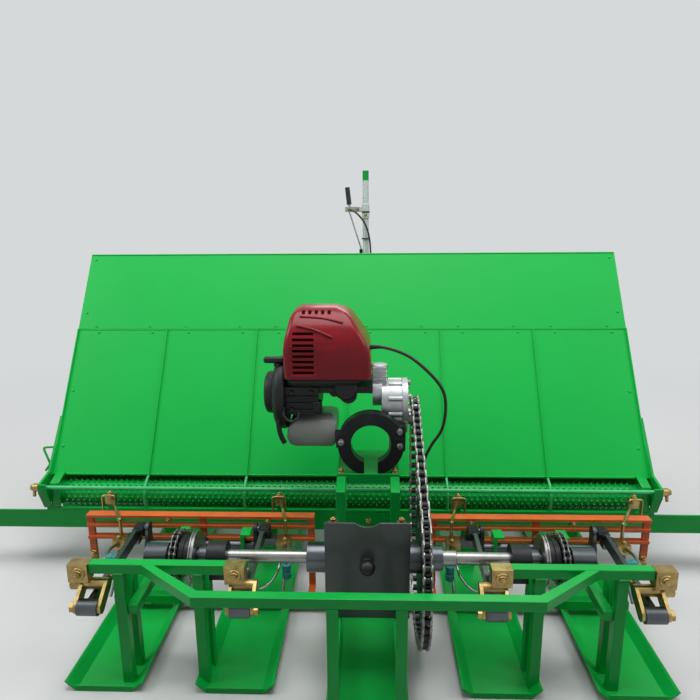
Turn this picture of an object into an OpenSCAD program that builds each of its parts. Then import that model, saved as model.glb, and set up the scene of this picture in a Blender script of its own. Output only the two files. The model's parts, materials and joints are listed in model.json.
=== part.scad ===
// Walk behind rice transplanter on sledge floats, seen from its planting side along +Y.
// Millimetres. The origin lies on the floor under the middle of the machine, and +Y points to the operator.

/* [Overall] */
// Length from the planting bar to the hand mast
machine_l = 1370; // [1300:5:1450]
// Length of the slide rail, the widest piece
rail_l = 1550; // [1520:10:1650]
// Side of the square frame tube
tube_w = 16; // [14:1:18]

/* [Floats] */
// Spacing of the five floats
float_pitch = 200; // [195:1:210]
// Width across the top of a float's rims
float_w = 120; // [110:2:130]
// Sideways flare of each rim
float_flare = 17; // [12:1:18]
// Height of the rims
float_h = 16; // [12:1:20]
// Thickness of the float sheet
float_t = 3; // [2:0.5:4]
// Distance from the planting bar to the float tails
float_tail_in = 59; // [50:1:64]
// Length of the flat run of an outer float
float_run = 710; // [690:5:760]
// Length of the upturned nose
nose_l = 90; // [70:5:110]
// Rise angle of the nose
nose_deg = 28; // [20:1:35]

/* [Planting frame] */
// Height of the top face of the planting frame
planter_z = 206; // [200:1:212]
// Half of the straight run of the bent bar
bar_half = 238; // [228:1:242]
// Distance from the bar to the beams
beam_in = 75; // [70:1:80]
// Place where the bent bar meets a beam, from the middle
bar_meet_x = 322; // [310:1:330]
// Inner end of a beam, from the middle
beam_x0 = 209; // [206:1:212]
// Outer end of a beam, from the middle
beam_x1 = 411; // [405:1:415]
// Outer post centre, from the middle
post_out_x = 368; // [364:1:372]
// Inner post centre, from the middle
post_in_x = 250; // [246:1:254]
// Centre post centre, from the middle
post_mid_x = 47; // [44:1:50]
// Distance from an outer post to the post behind it
post_gap = 20; // [18:1:26]

/* [Gearbox and shafts] */
// Width of the gearbox
gearbox_w = 125; // [115:1:130]
// Depth of the gearbox case
gearbox_d = 92; // [80:1:100]
// Height of the gearbox
gearbox_h = 152; // [140:1:156]
// Distance from the bar to the gearbox front plate
gearbox_in = 86; // [84:1:92]
// Thickness of the front plate
plate_t = 4; // [3:0.5:5]
// Distance from the bar to the cross shaft axis
shaft_in = 136; // [132:1:138]
// Height of the cross shaft axis
shaft_z = 185; // [182:1:188]
// Diameter of the cross shaft
shaft_d = 20; // [16:1:24]
// Outer end of the cross shaft, from the middle
shaft_x = 345; // [340:1:350]
// Distance from the bar to the crank shaft axis
crank_in = 259; // [257:1:261]
// Height of the crank shaft axis
crank_z = 130; // [126:1:134]
// Throw of the planting cranks
crank_throw = 30; // [26:1:32]

/* [Planting arms] */
// Outer arm, from the middle
arm_out_x = 405; // [402:1:408]
// Inner arm, from the middle
arm_in_x = 183; // [180:1:186]
// Distance from the bar to the rocker bush
bush_in = 53; // [50:1:56]
// Height of the rocker bush
bush_z = 150; // [147:1:153]
// Diameter of the rocker bush
bush_d = 24; // [20:1:26]
// Length of the rocker bush
bush_l = 30; // [26:1:32]
// Distance from the bar to the rocker pivot
pivot_in = 82; // [80:1:84]
// Height of the rocker pivot
pivot_z = 170; // [168:1:172]
// Distance from an arm to its claw
claw_dx = 37; // [34:1:40]

/* [Chain drive] */
// Chain pitch
chain_p = 15.875; // [15:0.125:16]
// Teeth of the large sprocket
big_teeth = 40; // [38:1:41]
// Teeth of the engine sprocket
small_teeth = 11; // [10:1:12]
// Middle of the chain, from the middle of the machine
chain_x = 84; // [82:1:88]
// Thickness of the sprocket discs
sprocket_t = 6; // [4:0.5:7]

/* [Engine] */
// Distance from the bar to the engine's crank axis
engine_in = 345; // [342:1:348]
// Height of the engine's crank axis
engine_z = 388; // [386:1:390]
// Height of the output sprocket
output_z = 345; // [342:1:348]
// Height of the engine stand's plate
stand_z = 250; // [248:1:252]
// Left edge of the red cover
cover_x0 = -144; // [-148:1:-142]
// Width of the red cover
cover_w = 150; // [146:1:152]
// Height of the red cover
cover_h = 135; // [130:1:138]
// Height of the top of the cover
cover_top = 546; // [535:1:550]
// Depth of the cover
cover_d = 130; // [120:2:140]
// Outer diameter of the mounting ring
ring_od = 116; // [112:1:120]
// Inner diameter of the mounting ring
ring_id = 70; // [64:1:76]

/* [Seedling tray] */
// Width of the tray
tray_w = 1200; // [1180:5:1200]
// Number of seedling lanes
lanes = 6; // [5:1:6]
// Length of the lower panel down the slope
lower_l = 322; // [310:1:330]
// Length of the upper panel down the slope
upper_l = 189; // [180:1:200]
// Slope of the tray
tray_deg = 55.6; // [54:0.1:57]
// Distance from the bar to the tray's lower edge
tray_in = 427; // [425:1:430]
// Height of the tray's lower edge
tray_z = 185; // [184:1:188]
// Sheet thickness of the tray
sheet_t = 2; // [1.5:0.5:3]
// Height of the lane dividers
divider_h = 4; // [3:1:12]
// Where the tray stands on its rail, from the middle
tray_shift = -45; // [-60:5:0]
// Travel of the tray to each side of the middle
tray_travel = 145; // [100:5:145]

/* [Feed roller and slide bar] */
// Drum radius of the spiked roller
roller_r = 25; // [22:1:26]
// Height of the spikes
spike_h = 3; // [2:0.5:4]
// Height of the roller axis
roller_z = 147; // [145:1:148]
// Diameter of the thin slide bar
slide_bar_d = 8; // [6:1:10]
// Height of the slide bar
slide_bar_z = 176; // [174:1:178]
// Distance from the bar to the slide bar
slide_bar_in = 387; // [384:1:389]

/* [Rail and fences] */
// Distance from the bar to the rail's face
rail_in = 394; // [392:1:396]
// Height of the rail's top edge
rail_z = 124; // [122:1:125]
// Leg of the angle section of the rail
rail_leg = 38; // [34:1:40]
// Thickness of the rail section
rail_t = 4; // [3:0.5:5]
// Distance from the bar to the orange fences
fence_in = 286; // [284:1:290]

/* [Hand mast] */
// Height of the top of the mast
mast_z = 820; // [800:5:840]
// Diameter of the mast tube
mast_d = 20; // [18:1:22]
// Sideways place of the mast
mast_x = -13; // [-20:1:0]
// Height where the drawbar meets the mast
drawbar_z = 500; // [480:5:540]

/* [Hidden] */
$fn = 48;

green = "#08A848";
dark_green = "#0A7A35";
orange = "#D8602C";
zinc = "#C9B27A";
steel = "#9A9C9E";
dark_steel = "#3C4043";
black = "#1C1C1E";
red = "#A01A24";

run_fit = 0.3;
seat_fit = 0.1;
rear_y = -machine_l / 2;
front_y = machine_l / 2;

float_tail_y = rear_y + float_tail_in;
bar_y = rear_y;
beam_y = rear_y + beam_in;
second_post_y = beam_y + tube_w + post_gap;
shaft_y = rear_y + shaft_in;
crank_y = rear_y + crank_in;
bush_y = rear_y + bush_in;
pivot_y = rear_y + pivot_in;
gearbox_y = rear_y + gearbox_in;
gearbox_z = planter_z + 60 - gearbox_h;
engine_y = rear_y + engine_in;
tray_y = rear_y + tray_in;
slide_bar_y = rear_y + slide_bar_in;
rail_y = rear_y + rail_in;
fence_y = rear_y + fence_in;
tube_top_z = float_h + tube_w;
tie_rear_y = rear_y + 251;
guide_d = 25;
guide_s = 420;
guide_off = 34;
guide_y = tray_y + guide_s * cos(tray_deg) + guide_off * sin(tray_deg);
guide_z = tray_z + guide_s * sin(tray_deg) - guide_off * cos(tray_deg);
tie_front_y = guide_y - tube_w / 2;
mast_y = front_y - mast_d / 2 - 2.5;

// Box by its lowest corner and size
module block(low, size) {
    translate(low) cube(size);
}

// Round bar along X from one end to the other
module bar_x(x0, x1, y, z, d) {
    translate([x0, y, z]) rotate([0, 90, 0]) cylinder(h = x1 - x0, d = d);
}

// Round bar between two points
module rod(a, b, d) {
    v = b - a;
    l = norm(v);
    translate(a) rotate([0, acos(v[2] / l), atan2(v[1], v[0])]) cylinder(h = l, d = d);
}

// Floats. Each row of the table: name, middle, extra length at the tail
FLOATS = [
    ["float_outer_left", -2 * float_pitch, 0],
    ["float_inner_left", -float_pitch, 0],
    ["float_centre", 0, float_tail_in],
    ["float_inner_right", float_pitch, 0],
    ["float_outer_right", 2 * float_pitch, 0],
];

// Outline of a float sheet across its width
module float_section() {
    half = float_w / 2;
    polygon([
        [-half, float_h], [-half + float_flare, 0], [half - float_flare, 0], [half, float_h],
        [half - float_t * 1.3, float_h], [half - float_flare - float_t * 0.5, float_t],
        [-half + float_flare + float_t * 0.5, float_t], [-half + float_t * 1.3, float_h],
    ]);
}

module float_sheet(l) {
    rotate([90, 0, 0]) mirror([0, 0, 1]) linear_extrude(l) float_section();
}

// Footprints of the posts that stand in the floats
module post_feet() {
    for (side = [-1, 1])
        for (place = [[post_out_x, beam_y], [post_in_x, beam_y], [post_out_x, second_post_y],
            [post_in_x, second_post_y], [post_mid_x, bar_y]])
            block([side * place[0] - tube_w / 2, place[1], float_t], [tube_w, tube_w, float_h * 2]);
}

module one_float(x, tail) {
    color(green) difference() {
        translate([x, float_tail_y - tail, 0]) {
            float_sheet(float_run + tail);
            translate([0, float_run + tail, 0]) rotate([nose_deg, 0, 0]) float_sheet(nose_l);
            inner = float_w - 2 * float_flare;
            block([-inner / 2, 0, 0], [inner, float_t, float_h * 0.6]);
        }
        post_feet();
    }
}

// Two tubes across all floats, on their rims
module cross_tubes() {
    half = 2 * float_pitch + float_w / 2;
    color(green) for (y = [tie_rear_y, tie_front_y])
        block([-half, y, float_h], [2 * half, tube_w, tube_w]);
}

// Tube bent forward around the gearbox and the chain
module planter_bar() {
    color(green) translate([0, 0, planter_z - tube_w]) linear_extrude(tube_w) {
        turn = (beam_in - tube_w) / (bar_meet_x - bar_half);
        slant = tube_w * sqrt(1 + turn * turn);
        polygon([
            [-bar_half, bar_y], [bar_half, bar_y], [bar_meet_x + slant / 2, beam_y],
            [bar_meet_x - slant / 2, beam_y], [bar_half - slant / 4, bar_y + tube_w],
            [-bar_half + slant / 4, bar_y + tube_w], [-bar_meet_x + slant / 2, beam_y],
            [-bar_meet_x - slant / 2, beam_y],
        ]);
    }
}

module beams() {
    color(green) for (side = [-1, 1])
        block([side > 0 ? beam_x0 : -beam_x1, beam_y, planter_z - tube_w],
            [beam_x1 - beam_x0, tube_w, tube_w]);
}

bearing_d = 46;
bearing_foot_z = shaft_z - bearing_d / 2 - 4;

// Outer, inner and second posts of both sides, with the sloping braces
module planter_posts() {
    h = planter_z - tube_w - float_t;
    color(green) for (side = [-1, 1]) {
        for (x = [post_out_x, post_in_x])
            block([side * x - tube_w / 2, beam_y, float_t], [tube_w, tube_w, h]);
        block([side * post_out_x - tube_w / 2, second_post_y, float_t], [tube_w, tube_w, h - 8]);
        block([side * post_in_x - tube_w / 2, second_post_y, float_t],
            [tube_w, tube_w, bearing_foot_z - float_t]);
        for (x = [post_out_x, post_in_x])
            translate([side * x - tube_w / 2, 0, 0]) rotate([90, 0, 90]) linear_extrude(tube_w)
                polygon([[beam_y + tube_w, float_t + h * 0.55], [second_post_y, float_t + h - 24],
                    [second_post_y, float_t + h - 12], [beam_y + tube_w, float_t + h * 0.55 + 12]]);
    }
}

// Two posts under the bar at the tail of the centre float
module centre_posts() {
    color(green) for (side = [-1, 1])
        block([side * post_mid_x - tube_w / 2, bar_y, float_t],
            [tube_w, tube_w, planter_z - tube_w - float_t]);
}

// Lengthwise tubes that carry the gearbox, from the centre posts to the engine stand
module gearbox_bearers() {
    color(green) for (side = [-1, 1])
        block([side * post_mid_x - tube_w / 2, bar_y + tube_w, gearbox_z - tube_w],
            [tube_w, tie_rear_y - bar_y - tube_w, tube_w]);
}

module gearbox() {
    color(dark_steel) {
        difference() {
            block([-gearbox_w / 2, gearbox_y, gearbox_z], [gearbox_w, plate_t, gearbox_h]);
            translate([0, gearbox_y - 1, gearbox_z + gearbox_h + 9]) rotate([-90, 0, 0])
                cylinder(h = plate_t + 2, r = 14);
        }
        block([-gearbox_w / 2 + 6, gearbox_y + plate_t, gearbox_z],
            [gearbox_w - 12, gearbox_d, gearbox_h - 8]);
        for (side = [-1, 1])
            bar_x(side > 0 ? gearbox_w / 2 - 6 : -gearbox_w / 2 - 1,
                side > 0 ? gearbox_w / 2 + 1 : -gearbox_w / 2 + 6, shaft_y, shaft_z, 50);
        translate([0, gearbox_y - 8, shaft_z + 24]) sphere(d = 22);
        translate([0, gearbox_y, shaft_z + 24]) rotate([90, 0, 0]) cylinder(h = 8, d = 16);
    }
}

hub_x = gearbox_w / 2 + 1;

// Cross shaft halves. Each row of the table: distance from the middle to start and end, diameter
SHAFT_STEPS_LEFT = [[hub_x, 93, 46], [hub_x, shaft_x, shaft_d], [249, 262, 30], [shaft_x - 35, shaft_x, 38]];
SHAFT_STEPS_RIGHT = [
    [hub_x, chain_x - sprocket_t / 2, 46], [chain_x + sprocket_t / 2, 115, 38], [115, 136, 24],
    [hub_x, shaft_x, shaft_d], [249, 262, 30], [shaft_x - 35, shaft_x, 38],
];

module cross_shaft(side, steps) {
    color(steel) for (s = steps)
        bar_x(side > 0 ? s[0] : -s[1], side > 0 ? s[1] : -s[0], shaft_y, shaft_z, s[2]);
}

bearing_x = 218;
bearing_l = 30;

module bearing_housings() {
    color(dark_steel) for (side = [-1, 1]) {
        x0 = side > 0 ? bearing_x : -bearing_x - bearing_l;
        foot_x1 = post_in_x + tube_w / 2;
        difference() {
            union() {
                bar_x(x0, x0 + bearing_l, shaft_y, shaft_z, bearing_d);
                block([side > 0 ? bearing_x : -foot_x1, second_post_y, bearing_foot_z],
                    [foot_x1 - bearing_x, shaft_y + 20 - second_post_y, 12]);
            }
            bar_x(x0 - 20, x0 + bearing_l + 20, shaft_y, shaft_z, shaft_d + 2 * seat_fit);
        }
    }
}

// Toothed wheel across X, with a tooth gap at the given angle from +Y towards +Z
module sprocket(teeth, pitch, t, gap_deg, holes_r = 0) {
    r = pitch / (2 * sin(180 / teeth));
    root = r - pitch * 0.25;
    tip = r + pitch * 0.22;
    rotate([90, 0, 90]) linear_extrude(t, center = true) rotate(gap_deg) difference() {
        polygon([
            for (i = [0:teeth - 1]) for (p = [[0.24, root], [0.42, tip], [0.58, tip], [0.76, root]])
                let (a = (i + p[0]) * 360 / teeth) [p[1] * cos(a), p[1] * sin(a)]
        ]);
        if (holes_r > 0) for (i = [0:4]) rotate(i * 72) translate([r * 0.62, 0]) circle(r = holes_r);
    }
}

timing_x = 295;
timing_pitch = 9.525;
timing_teeth = 24;
crank_teeth = 11;
timing_r = timing_pitch / (2 * sin(180 / timing_teeth));
crank_r = timing_pitch / (2 * sin(180 / crank_teeth));

// Loop of the timing chain, grown or shrunk by a margin
module timing_loop(margin) {
    hull() {
        translate([shaft_y, shaft_z]) circle(r = timing_r + margin, $fn = 36);
        translate([crank_y, crank_z]) circle(r = crank_r + margin, $fn = 24);
    }
}

// Small chain drive from one end of the cross shaft to its crank shaft
module timing_drive(side) {
    color(dark_steel) difference() {
        union() {
            translate([side * timing_x, shaft_y, shaft_z]) sprocket(timing_teeth, timing_pitch, 4, 0);
            translate([side * timing_x, crank_y, crank_z]) sprocket(crank_teeth, timing_pitch, 4, 0);
            bar_x(side * timing_x - 8, side * timing_x + 8, crank_y, crank_z, 26);
            bar_x(side * 281 - 9, side * 281 + 9, shaft_y, shaft_z, 60);
            bar_x(side * 268 - 4, side * 268 + 4, shaft_y, shaft_z, 78);
            bar_x(side * timing_x - 8, side * timing_x + 8, shaft_y, shaft_z, 36);
            translate([side * timing_x, 0, 0]) rotate([90, 0, 90]) linear_extrude(9, center = true)
                difference() {
                    timing_loop(4);
                    timing_loop(-3);
                }
        }
        bar_x(side * 284 - 40, side * 284 + 40, shaft_y, shaft_z, shaft_d + 2 * seat_fit);
        bar_x(side * 284 - 40, side * 284 + 40, crank_y, crank_z, crank_d + 2 * seat_fit);
    }
}

crank_d = 18;
web_t = 6;
knob_w = 18;
web_in_x = arm_in_x + knob_w / 2 + 3;
web_out_x = arm_out_x - knob_w / 2 - 3 - web_t;

// Round bar between two distances from the middle, on one side
module side_bar(side, near, far, y, z, d) {
    bar_x(side > 0 ? near : -far, side > 0 ? far : -near, y, z, d);
}

// Crank shafts behind the cross shaft, one on each side, with a web and a pin at both ends
module crank_shafts() {
    color(steel) for (side = [-1, 1]) {
        side_bar(side, web_in_x + web_t, web_out_x, crank_y, crank_z, crank_d);
        crank_web(side > 0 ? web_in_x : -web_in_x - web_t);
        crank_web(side > 0 ? web_out_x : -web_out_x - web_t);
        side_bar(side, arm_in_x + knob_w / 2, web_in_x, knob_y, knob_z, 12);
        side_bar(side, web_out_x + web_t, arm_out_x - knob_w / 2, knob_y, knob_z, 12);
    }
}

// Crank web from the shaft to the crank pin
module crank_web(x) {
    translate([x, 0, 0]) rotate([90, 0, 90]) linear_extrude(web_t) {
        translate([crank_y, crank_z]) circle(d = 30);
        translate([knob_y, knob_z]) circle(d = 22);
        polygon([[crank_y - 13, crank_z], [crank_y + 13, crank_z], [knob_y + 10, knob_z], [knob_y - 10, knob_z]]);
    }
}

bracket_in_x = web_in_x + 25;
bracket_out_x = web_out_x - 56;

// Upright plates on the rear cross tube that carry the crank shafts
module crank_brackets() {
    top = crank_z + 28;
    color(green) for (side = [-1, 1]) for (x = [bracket_in_x, bracket_out_x]) difference() {
        union() {
            block([side * x - 3, crank_y - 14, tube_top_z], [6, 28, top - tube_top_z]);
            block([side * x - 3, crank_y - 14, top - 4], [17, 28, 4]);
        }
        bar_x(side * x - 9, side * x + 9, crank_y, crank_z, crank_d + 2 * seat_fit);
    }
}

// Rows of the arm table: name end, side, middle of the arm, direction to its claw
ARMS = [
    ["outer_left", -1, arm_out_x, 1],
    ["inner_left", -1, arm_in_x, -1],
    ["inner_right", 1, arm_in_x, -1],
    ["outer_right", 1, arm_out_x, 1],
];

knob_y = crank_y + 4;
knob_z = crank_z + crank_throw;
claw_box = [28, 24, 26];

// Swinging bar with its bush, crank knob, claw casing and claw
module planting_arm(side, x, out) {
    cx = side * (x + out * claw_dx);
    px = side * x;
    color(steel) {
        translate([px, 0, 0]) rotate([90, 0, 90]) linear_extrude(7, center = true) polygon([
            [bush_y, bush_z - 9], [knob_y, knob_z - 10], [knob_y, knob_z + 10], [bush_y, bush_z + 9],
        ]);
        bar_x(px - bush_l / 2, px + bush_l / 2, bush_y, bush_z, bush_d);
    }
    color(black) {
        bar_x(px - knob_w / 2, px + knob_w / 2, knob_y, knob_z, 30);
        translate([px, knob_y, knob_z]) cylinder(h = 26, d = knob_w);
    }
    color(zinc) {
        block([min(px, cx), knob_y - 12, knob_z - 26], [abs(cx - px), 18, 14]);
        block([cx - claw_box[0] / 2, knob_y - 16, knob_z - 34], claw_box);
    }
    color(steel) {
        rod([cx, knob_y - 6, knob_z - 30], [cx, knob_y - 26, knob_z - 66], 6);
        rod([cx, knob_y - 26, knob_z - 66], [cx, knob_y - 62, knob_z - 96], 5);
        translate([cx, knob_y - 26, knob_z - 66]) sphere(d = 6.6, $fn = 24);
    }
}

rocker_t = 5;
rocker_block = [30, 20, 28];

// Block bolted to a beam's end, with the pivot tube and two straps that hold an arm's bush
module rocker(side, x, out) {
    block_x = out > 0 ? beam_x1 : beam_x0 - rocker_block[0];
    strap_x = bush_l / 2 + run_fit;
    tube_far = out > 0 ? beam_x1 + rocker_block[0] : x + strap_x + rocker_t;
    tube_near = out > 0 ? x - strap_x - rocker_t : min(x - strap_x - rocker_t, block_x);
    nut_x = x + out * (strap_x + rocker_t + 3);
    color(zinc) {
        block([side > 0 ? block_x : -block_x - rocker_block[0], beam_y - 4, planter_z - rocker_block[2]],
            rocker_block);
        side_bar(side, tube_near, tube_far, pivot_y, pivot_z, 18);
        for (end = [-1, 1])
            translate([side * (x + end * (strap_x + rocker_t / 2)), 0, 0]) rotate([90, 0, 90])
                linear_extrude(rocker_t, center = true) {
                    translate([pivot_y, pivot_z]) circle(d = 18);
                    translate([bush_y, bush_z]) circle(d = 18);
                    polygon([[pivot_y - 5, pivot_z + 7.5], [bush_y - 5, bush_z + 7.5],
                        [bush_y + 5, bush_z - 7.5], [pivot_y + 5, pivot_z - 7.5]]);
                }
        translate([side * nut_x, bush_y, bush_z]) rotate([0, 90, 0]) cylinder(h = 6, d = 16, center = true, $fn = 6);
    }
}

clamp_out_x = 499;
clamp_in_x = 170;
clamp_size = [24, 16, 16];
clamp_y = slide_bar_y - 15 - clamp_size[1];
clamp_z = slide_bar_z - 19;
guide_rod_d = 5;

// Clamps before the slide bar, each with a bent rod that reaches over the fence to the claw casing
module bar_guides() {
    rod_z = fence_top_z + 0.3 + guide_rod_d / 2;
    front_rod_y = knob_y + 4;
    bend_y = fence_y + 22;
    start_y = clamp_y + clamp_size[1] / 2;
    bend_share = (start_y - bend_y) / (start_y - front_rod_y);
    color(zinc) for (side = [-1, 1])
        for (g = [[clamp_out_x, arm_out_x + claw_dx], [clamp_in_x, arm_in_x - claw_dx]]) {
            x = side * g[0];
            rod_x = side * g[1];
            bend = [x + (rod_x - x) * bend_share, bend_y, rod_z];
            block([x - clamp_size[0] / 2, clamp_y, clamp_z], clamp_size);
            rod([x, start_y, clamp_z + clamp_size[2] - 5], bend, guide_rod_d);
            rod(bend, [rod_x, front_rod_y, rod_z], guide_rod_d);
            for (p = [bend, [rod_x, front_rod_y, rod_z]])
                translate(p) sphere(d = guide_rod_d + 0.6, $fn = 24);
            rod([rod_x, front_rod_y, knob_z - 34 + claw_box[2] + 0.3], [rod_x, front_rod_y, rod_z],
                guide_rod_d);
        }
}

fence_top_z = 171;
fence_t = 5;
fence_left_x0 = 97;
fence_right_x0 = chain_x + 27;

// Orange guard of three strips on three legs. Each strip's row: height of its underside, depth
module fence(side, x0, x1) {
    legs = [x0 + 6, 300, x1 - 6];
    color(orange) {
        for (s = [[fence_top_z - fence_t, 18], [148, 14], [124, 14]])
            block([side > 0 ? x0 : -x1, fence_y, s[0]], [x1 - x0, s[1], fence_t]);
        for (x = legs)
            block([side * x - 6, fence_y + 4, 74], [12, 6, fence_top_z - 74]);
        for (x = [legs[0], legs[1]]) {
            block([side * x - 6, fence_y + 4, tube_top_z - 6], [12, 6, 80 - tube_top_z]);
            block([side * x - 6, tie_rear_y + tube_w, tube_top_z - 6],
                [12, fence_y + 10 - tie_rear_y - tube_w, 6]);
        }
    }
}

module rail() {
    color(green) {
        block([-rail_l / 2, rail_y, rail_z - rail_leg], [rail_l, rail_t, rail_leg]);
        block([-rail_l / 2, rail_y, rail_z - rail_leg], [rail_l, rail_leg, rail_t]);
    }
}

// Uprights from the floats to the rail, and the bent posts before the rail that hold the clamps
module rail_brackets() {
    post = [12, 5, 6];
    post_y = clamp_y + clamp_size[1] / 2 - post[1] / 2;
    post_z = rail_z - rail_leg / 2;
    color(green) {
        for (f = FLOATS)
            block([f[1] - 15, rail_y + 12, float_t], [30, 6, rail_z - rail_leg - float_t]);
        for (x = [-clamp_out_x, -clamp_in_x, clamp_in_x, clamp_out_x]) {
            block([x - post[0] / 2, post_y, post_z], [post[0], rail_y - post_y, post[2]]);
            block([x - post[0] / 2, post_y, post_z], [post[0], post[1], clamp_z - post_z]);
        }
    }
}

plate_y0 = engine_y - 60;
plate_l = 110;
stand_t = 6;

// Two posts with sloping arms and the plate that carries the engine
module engine_stand() {
    foot_y = tie_rear_y + tube_w;
    color(green) {
        for (side = [-1, 1]) {
            block([side * post_mid_x - tube_w / 2, tie_rear_y, tube_top_z],
                [tube_w, tube_w, stand_z - 12 - tube_top_z]);
            translate([side * post_mid_x - tube_w / 2, 0, 0]) rotate([90, 0, 90]) linear_extrude(tube_w)
                polygon([
                    [tie_rear_y, stand_z - 30], [foot_y, stand_z - 30], [plate_y0 + 10, stand_z - 8],
                    [plate_y0 + 10, stand_z], [plate_y0, stand_z], [tie_rear_y, stand_z - 12],
                ]);
        }
        half = post_mid_x + tube_w / 2;
        block([-half, plate_y0, stand_z], [2 * half, plate_l, stand_t]);
        block([-half + tube_w, plate_y0, stand_z - 12], [2 * (half - tube_w), 4, 12]);
    }
}

ring_x = 5;
ring_z = stand_z + stand_t + ring_od / 2 - 4;
ring_t = 20;
plate_top_z = stand_z + stand_t;

// Black clamp ring open at the bottom, with the switch block at its right
module mount_ring() {
    color(black) difference() {
        union() {
            translate([ring_x, plate_y0 + 2, ring_z]) rotate([-90, 0, 0]) cylinder(h = ring_t, d = ring_od);
            block([ring_x + ring_od / 2 - 18, plate_y0 + 2, ring_z - 12], [20, ring_t, 46]);
            block([ring_x - ring_od / 2 - 3, plate_y0 + 6, ring_z - 8], [14, ring_t - 8, 30]);
        }
        translate([ring_x, plate_y0, ring_z]) rotate([-90, 0, 0]) cylinder(h = ring_t + 4, d = ring_id);
        block([ring_x - 12, plate_y0, ring_z - ring_od / 2 - 1], [24, ring_t + 4, ring_od / 2]);
        block([-100, plate_y0, plate_top_z - 20], [200, ring_t + 4, 20]);
    }
}

cover_z0 = cover_top - cover_h;
cover_x1 = cover_x0 + cover_w;
cover_y0 = engine_y - cover_d / 2;
tank_top_z = engine_z - 26;
case_x0 = 8;
case_x1 = 70;
case_z = 372;

// Crankcase, the deck under the cover and the silencer lump
module engine_block() {
    color(black) {
        block([cover_x0, engine_y - 50, tank_top_z], [59, 100, cover_z0 - tank_top_z]);
        block([cover_x0 + 50, engine_y - 44, cover_z0 - 12], [case_x0 - cover_x0 - 50, 88, 12]);
        translate([-34, engine_y - 46, cover_z0 - 15]) rotate([-90, 0, 0]) cylinder(h = 60, d = 30);
        translate([-58, engine_y - 46, cover_z0 - 9]) rotate([-90, 0, 0]) cylinder(h = 60, d = 18);
    }
}

// Moulded red hood: louvres at its left front, small square holes along the top
module engine_cover() {
    louvre_x = cover_x0 + 18;
    color(red) difference() {
        hull() {
            for (x = [cover_x0 + 14, cover_x1 - 12]) for (y = [cover_y0 + 12, cover_y0 + cover_d - 12])
                translate([x, y, cover_z0]) cylinder(h = 62, r = 12, $fn = 32);
            for (x = [cover_x0 + 28, cover_x1 - 50]) for (y = [cover_y0 + 34, cover_y0 + cover_d - 34])
                translate([x, y, cover_top - 14]) sphere(r = 14, $fn = 32);
            for (x = [cover_x0 + 16, cover_x1 - 14])
                translate([x, engine_y, cover_top - 60]) rotate([90, 0, 0])
                    cylinder(h = cover_d - 44, r = 15, center = true, $fn = 32);
        }
        for (i = [0:6])
            block([louvre_x, cover_y0 - 1, cover_z0 + 18 + i * 11], [34, 12 + i * 1.2, 5]);
    }
}

// Recoil starter: fan housing, domed cap and the pull grip
module recoil_starter() {
    housing_t = 20;
    cap_l = 20;
    x1 = cover_x0;
    x0 = x1 - housing_t;
    color(black) {
        bar_x(x0, x1, engine_y, engine_z, 132);
        translate([x0, engine_y, engine_z]) rotate([0, -90, 0]) cylinder(h = cap_l * 0.4, d1 = 116, d2 = 84);
        bar_x(x0 - cap_l, x0, engine_y, engine_z, 76);
        block([x0 - 18, engine_y - 34, engine_z + 61], [37, 14, 11]);
        block([x0 + 2, engine_y - 32, engine_z + 40], [10, 10, 24]);
    }
}

// Tank under the crankcase, with its upper left corner cut
module fuel_tank() {
    x0 = cover_x0;
    x1 = ring_x - ring_od / 2 - 6;
    z0 = tank_top_z - 64;
    color("white") translate([0, engine_y + 48, 0]) rotate([90, 0, 0]) linear_extrude(96) polygon([
        [x0, z0 + 14], [x0, z0 + 30], [x0 + 24, tank_top_z], [x1 - 6, tank_top_z], [x1, tank_top_z - 6],
        [x1, z0 + 8], [x1 - 8, z0], [x0 + 14, z0],
    ]);
}

// Reducer case between the crankcase and the output sprocket, on its foot
module clutch_housing() {
    lobe_x0 = case_x1 - 46;
    color(steel) difference() {
        union() {
            block([case_x0, engine_y - 17, case_z], [24, 34, 66]);
            bar_x(case_x0, lobe_x0 + 1, engine_y, case_z + 18, 52);
            bar_x(lobe_x0, case_x1 - 10, engine_y, case_z, 76);
            bar_x(case_x1 - 10, case_x1, engine_y, case_z, 84);
            bar_x(lobe_x0 + 16, case_x1, engine_y, output_z, 64);
            block([lobe_x0 + 14, engine_y - 12, plate_top_z], [18, 24, output_z - plate_top_z]);
        }
        bar_x(case_x1 - 20, case_x1 + 1, engine_y, output_z, output_d + 2 * seat_fit);
    }
}

big_r = chain_p / (2 * sin(180 / big_teeth));
small_r = chain_p / (2 * sin(180 / small_teeth));
big_c = [shaft_y, shaft_z];
small_c = [engine_y, output_z];
output_d = 16;

// Both sprockets are touched by the straight strand at this angle, from +Y towards +Z
tangent_deg = atan2(small_c[1] - big_c[1], small_c[0] - big_c[0])
    + acos((big_r - small_r) / norm(small_c - big_c));
big_step = 360 / big_teeth;
small_step = 360 / small_teeth;
big_wrap = floor((190 - tangent_deg) / big_step);
small_wrap = 3;

module drive_sprocket() {
    color(black) translate([chain_x, shaft_y, shaft_z]) difference() {
        sprocket(big_teeth, chain_p, sprocket_t, tangent_deg, 19);
        rotate([0, 90, 0]) cylinder(h = sprocket_t * 2, d = shaft_d + 2 * seat_fit, center = true);
    }
}

module engine_sprocket() {
    color(steel) {
        translate([chain_x, engine_y, output_z]) sprocket(small_teeth, chain_p, sprocket_t, tangent_deg);
        bar_x(case_x1, chain_x + 10, engine_y, output_z, 34);
        bar_x(case_x1 - 20, case_x1, engine_y, output_z, output_d);
    }
}

// Hanging strand of the chain from the large sprocket to the small one, chosen by hand: Y behind the shaft, Z
SLACK = [
    [-100, 140], [-85, 102], [-51, 68], [1, 42], [59, 31], [103, 40], [137, 62],
    [171, 104], [197, 165], [215, 235], [232, 310],
];
slack_points = [for (p = SLACK) [shaft_y + p[0], p[1]]];

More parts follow.
